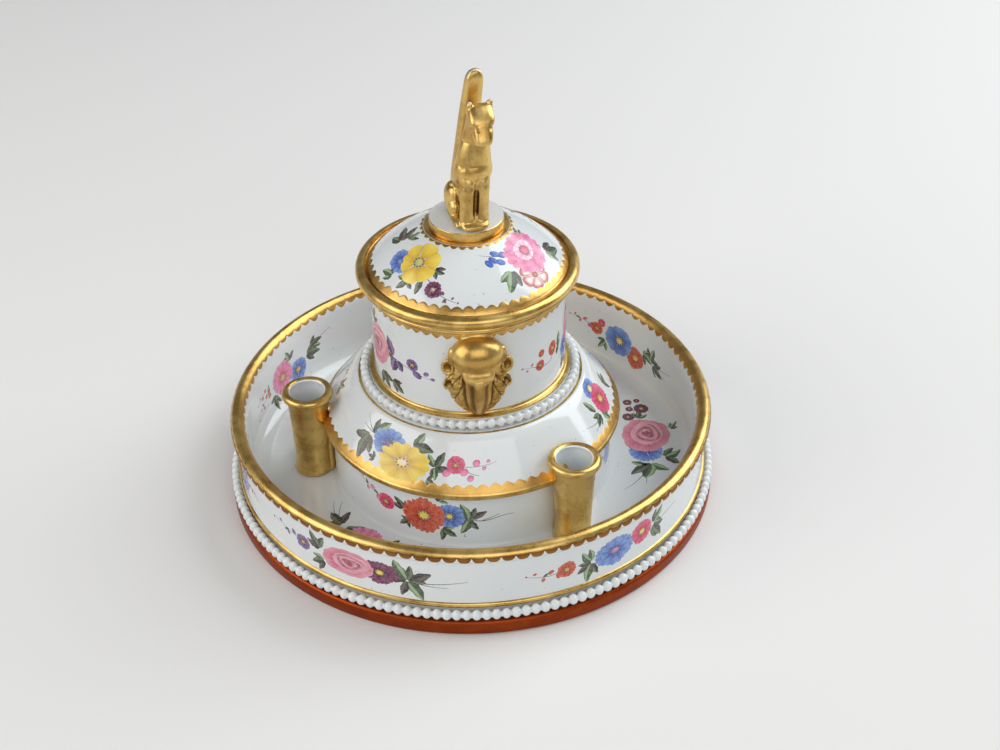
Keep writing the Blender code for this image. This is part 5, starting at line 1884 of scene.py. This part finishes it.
leaves(on_floor(-8.0, 57.5), 175, 7.8, (SAGE, OLIVE, SAGE), spread=0.9)
leaves(on_floor(-9.5, 56.5), 235, 7.3, (OLIVE, SAGE, BROWN), spread=0.9)
leaves(on_floor(-4.5, 62.0), 70, 6.8, (SAGE, OLIVE, OLIVE), spread=0.9)
line(on_floor(-12.0, 56.0), [(0, 0), (-5.0, -1.6), (-10.5, -4.6)], 0.47, 0.18)
line(sheet, [(0, 0), (-3.4, 0.8), (-6.0, 1.2)], 0.36, 0.18)
blossom(on_floor(-1.2, 56.0), 12.8, BLUE, 13, level=2, turn=0.2, squash=(0.92, 0.0), notch=0.08,
        middle=0.24, eye_colours=VIOLET)
rose(on_floor(6.6, 57.4), 18.2, ROSE, level=6, turn=0.4)
leaves(on_floor(16.0, 57.6), 30, 4.4, (OLIVE, SAGE, OLIVE), spread=1.0)
line(on_floor(14.0, 58.0), [(0, 0), (4.0, -0.6), (10.0, 0.2)], 0.39, 0.16)
line(sheet, [(2.0, -0.4), (6.0, 1.6), (8.0, 3.4)], 0.34, 0.16)
for azimuth, radius, size in ((20.2, 60.6, 4.2), (25.0, 58.0, 2.6), (17.6, 54.6, 3.4),
                              (21.5, 56.8, 2.2), (24.4, 61.2, 1.8)):
    blossom(on_floor(azimuth, radius), 1.25 * size, PURPLE, 5, turn=azimuth)
leaves(on_floor(8.5, 66.0), 60, 3.2, (SAGE, OLIVE, SAGE))

leaves(on_floor(219.5, 52.0), 180, 6.8, (OLIVE, BROWN, OLIVE), spread=0.8)
leaf(on_floor(221.5, 52.5), -0.55, 10.2, 3.4, OLIVE)
line(on_floor(218.5, 52.5), [(0, 0), (-5.0, -1.4), (-9.5, -3.8)], 0.42, 0.18)
line(sheet, [(0, 0), (-4.6, -3.0), (-7.6, -6.0)], 0.36, 0.16)
leaves(on_floor(240.0, 51.0), -40, 5.6, (OLIVE, SAGE, BROWN), spread=0.8)
blossom(on_floor(238.6, 53.4), 9.0, PURPLE, 9, rings=2, turn=0.2)
blossom(on_floor(230.6, 53.4), 13.0, PINK, 12, rings=2, level=6, turn=0.1, squash=(0.96, 0.0), notch=0.12,
        middle=0.22)

posy(sheet, 88, WALL_START + 13.8, 10.8, YELLOW, VIOLET, ORANGE, turn=180.0)
posy(sheet, 118, 12.0, 12.0, ROSE, BLUE, PURPLE, turn=180.0)
posy(sheet, 200, WALL_START + 13.8, 10.8, ORANGE, BLUE, PINK)
posy(sheet, 250, WALL_START + 13.8, 10.8, ROSE, YELLOW, VIOLET)
posy(sheet, 330, WALL_START + 13.8, 10.8, BLUE, PINK, ORANGE, flip=-1.0)
posy(sheet, 292, 11.5, 11.0, YELLOW, VIOLET, CRIMSON)
sheet.finish("flowers_in_tray", "stand")


# %%
# Paint the tray's outer wall
sheet = Paper(Skin(outer_line), seed=26)


def outside(azimuth, height, wide=1.0):
    """A place on the outer wall, by its height over the table."""
    return sheet.at(azimuth, height - outer_line[0][1], wide=wide)


leaves(outside(232.8, 18.4), 130, 6.1, (OLIVE, BROWN, OLIVE), spread=0.8)
leaves(outside(233.8, 14.2), 200, 5.1, (OLIVE, BROWN, SAGE), spread=0.8)
leaves(outside(254.6, 16.6), 125, 7.3, (SAGE, BROWN, OLIVE), spread=1.0)
leaves(outside(255.0, 16.2), -50, 7.1, (SAGE, OLIVE, BROWN), spread=1.1)
leaf(outside(255.2, 16.6), 0.45, 7.4, 3.4, BROWN)
line(outside(255.0, 16.4), [(0, 0), (6.0, -0.4), (12.0, 0.2), (17.0, 1.0)], 0.47, 0.16)
line(sheet, [(0, 0), (6.0, -1.2), (11.5, -1.4)], 0.39, 0.16)
blossom(outside(248.4, 17.4, wide=1.2), 9.5, PURPLE, 12, rings=2, level=2, turn=0.2, squash=(0.95, 0.0),
        notch=0.08, middle=0.24, eye_colours=YELLOW)
rose(outside(240.4, 17.2, wide=1.55), 11.8, ROSE, level=6, turn=0.4)
blossom(outside(227.6, 17.2), 5.6, VIOLET, 5, turn=0.4)
bud_trail(outside(226.5, 17.0), [(0, 0), (-5.0, 1.4), (-12.0, 1.8)], 2.5, VIOLET)

leaves(outside(296.6, 17.0), 140, 5.6, (SAGE, OLIVE, SAGE), spread=1.0)
leaves(outside(296.8, 16.0), -115, 6.1, (SAGE, OLIVE, BROWN), spread=0.8)
leaves(outside(315.0, 19.0), 35, 6.1, (SAGE, OLIVE, SAGE), spread=0.8)
leaves(outside(315.0, 17.6), -50, 6.6, (OLIVE, BROWN, OLIVE), spread=0.6)
line(sheet, [(0, 0), (6.0, 1.0), (12.0, 1.6)], 0.42, 0.16)
blossom(outside(303.0, 17.2, wide=1.4), 10.8, BLUE, 11, rings=2, level=4, turn=0.2, squash=(0.98, 0.0),
        middle=0.24, eye_colours=(VIOLET[0], PINK[0], PURPLE[2]))
blossom(outside(311.2, 18.6), 8.8, CRIMSON, 9, level=7, turn=0.1,
        eye_colours=(YELLOW[0], OCHRE[0], ORANGE[1]))
blossom(outside(290.6, 17.0), 6.0, ORANGE, 7, turn=0.2, notch=0.08)
bud_trail(outside(288.6, 16.6), [(0, 0), (-4.6, -0.4), (-9.6, 0.8)], 2.3, ORANGE)
posy(sheet, 350, 6.8, 10.6, ROSE, YELLOW, VIOLET)
posy(sheet, 28, 6.8, 10.6, ORANGE, BLUE, PINK, flip=-1.0)
posy(sheet, 70, 6.8, 10.6, YELLOW, PURPLE, CRIMSON)
posy(sheet, 115, 6.8, 10.6, ROSE, BLUE, ORANGE, flip=-1.0)
posy(sheet, 158, 6.8, 10.6, PINK, VIOLET, BLUE)
posy(sheet, 198, 6.8, 10.6, BLUE, YELLOW, CRIMSON, flip=-1.0)
sheet.finish("flowers_round_tray", "stand")
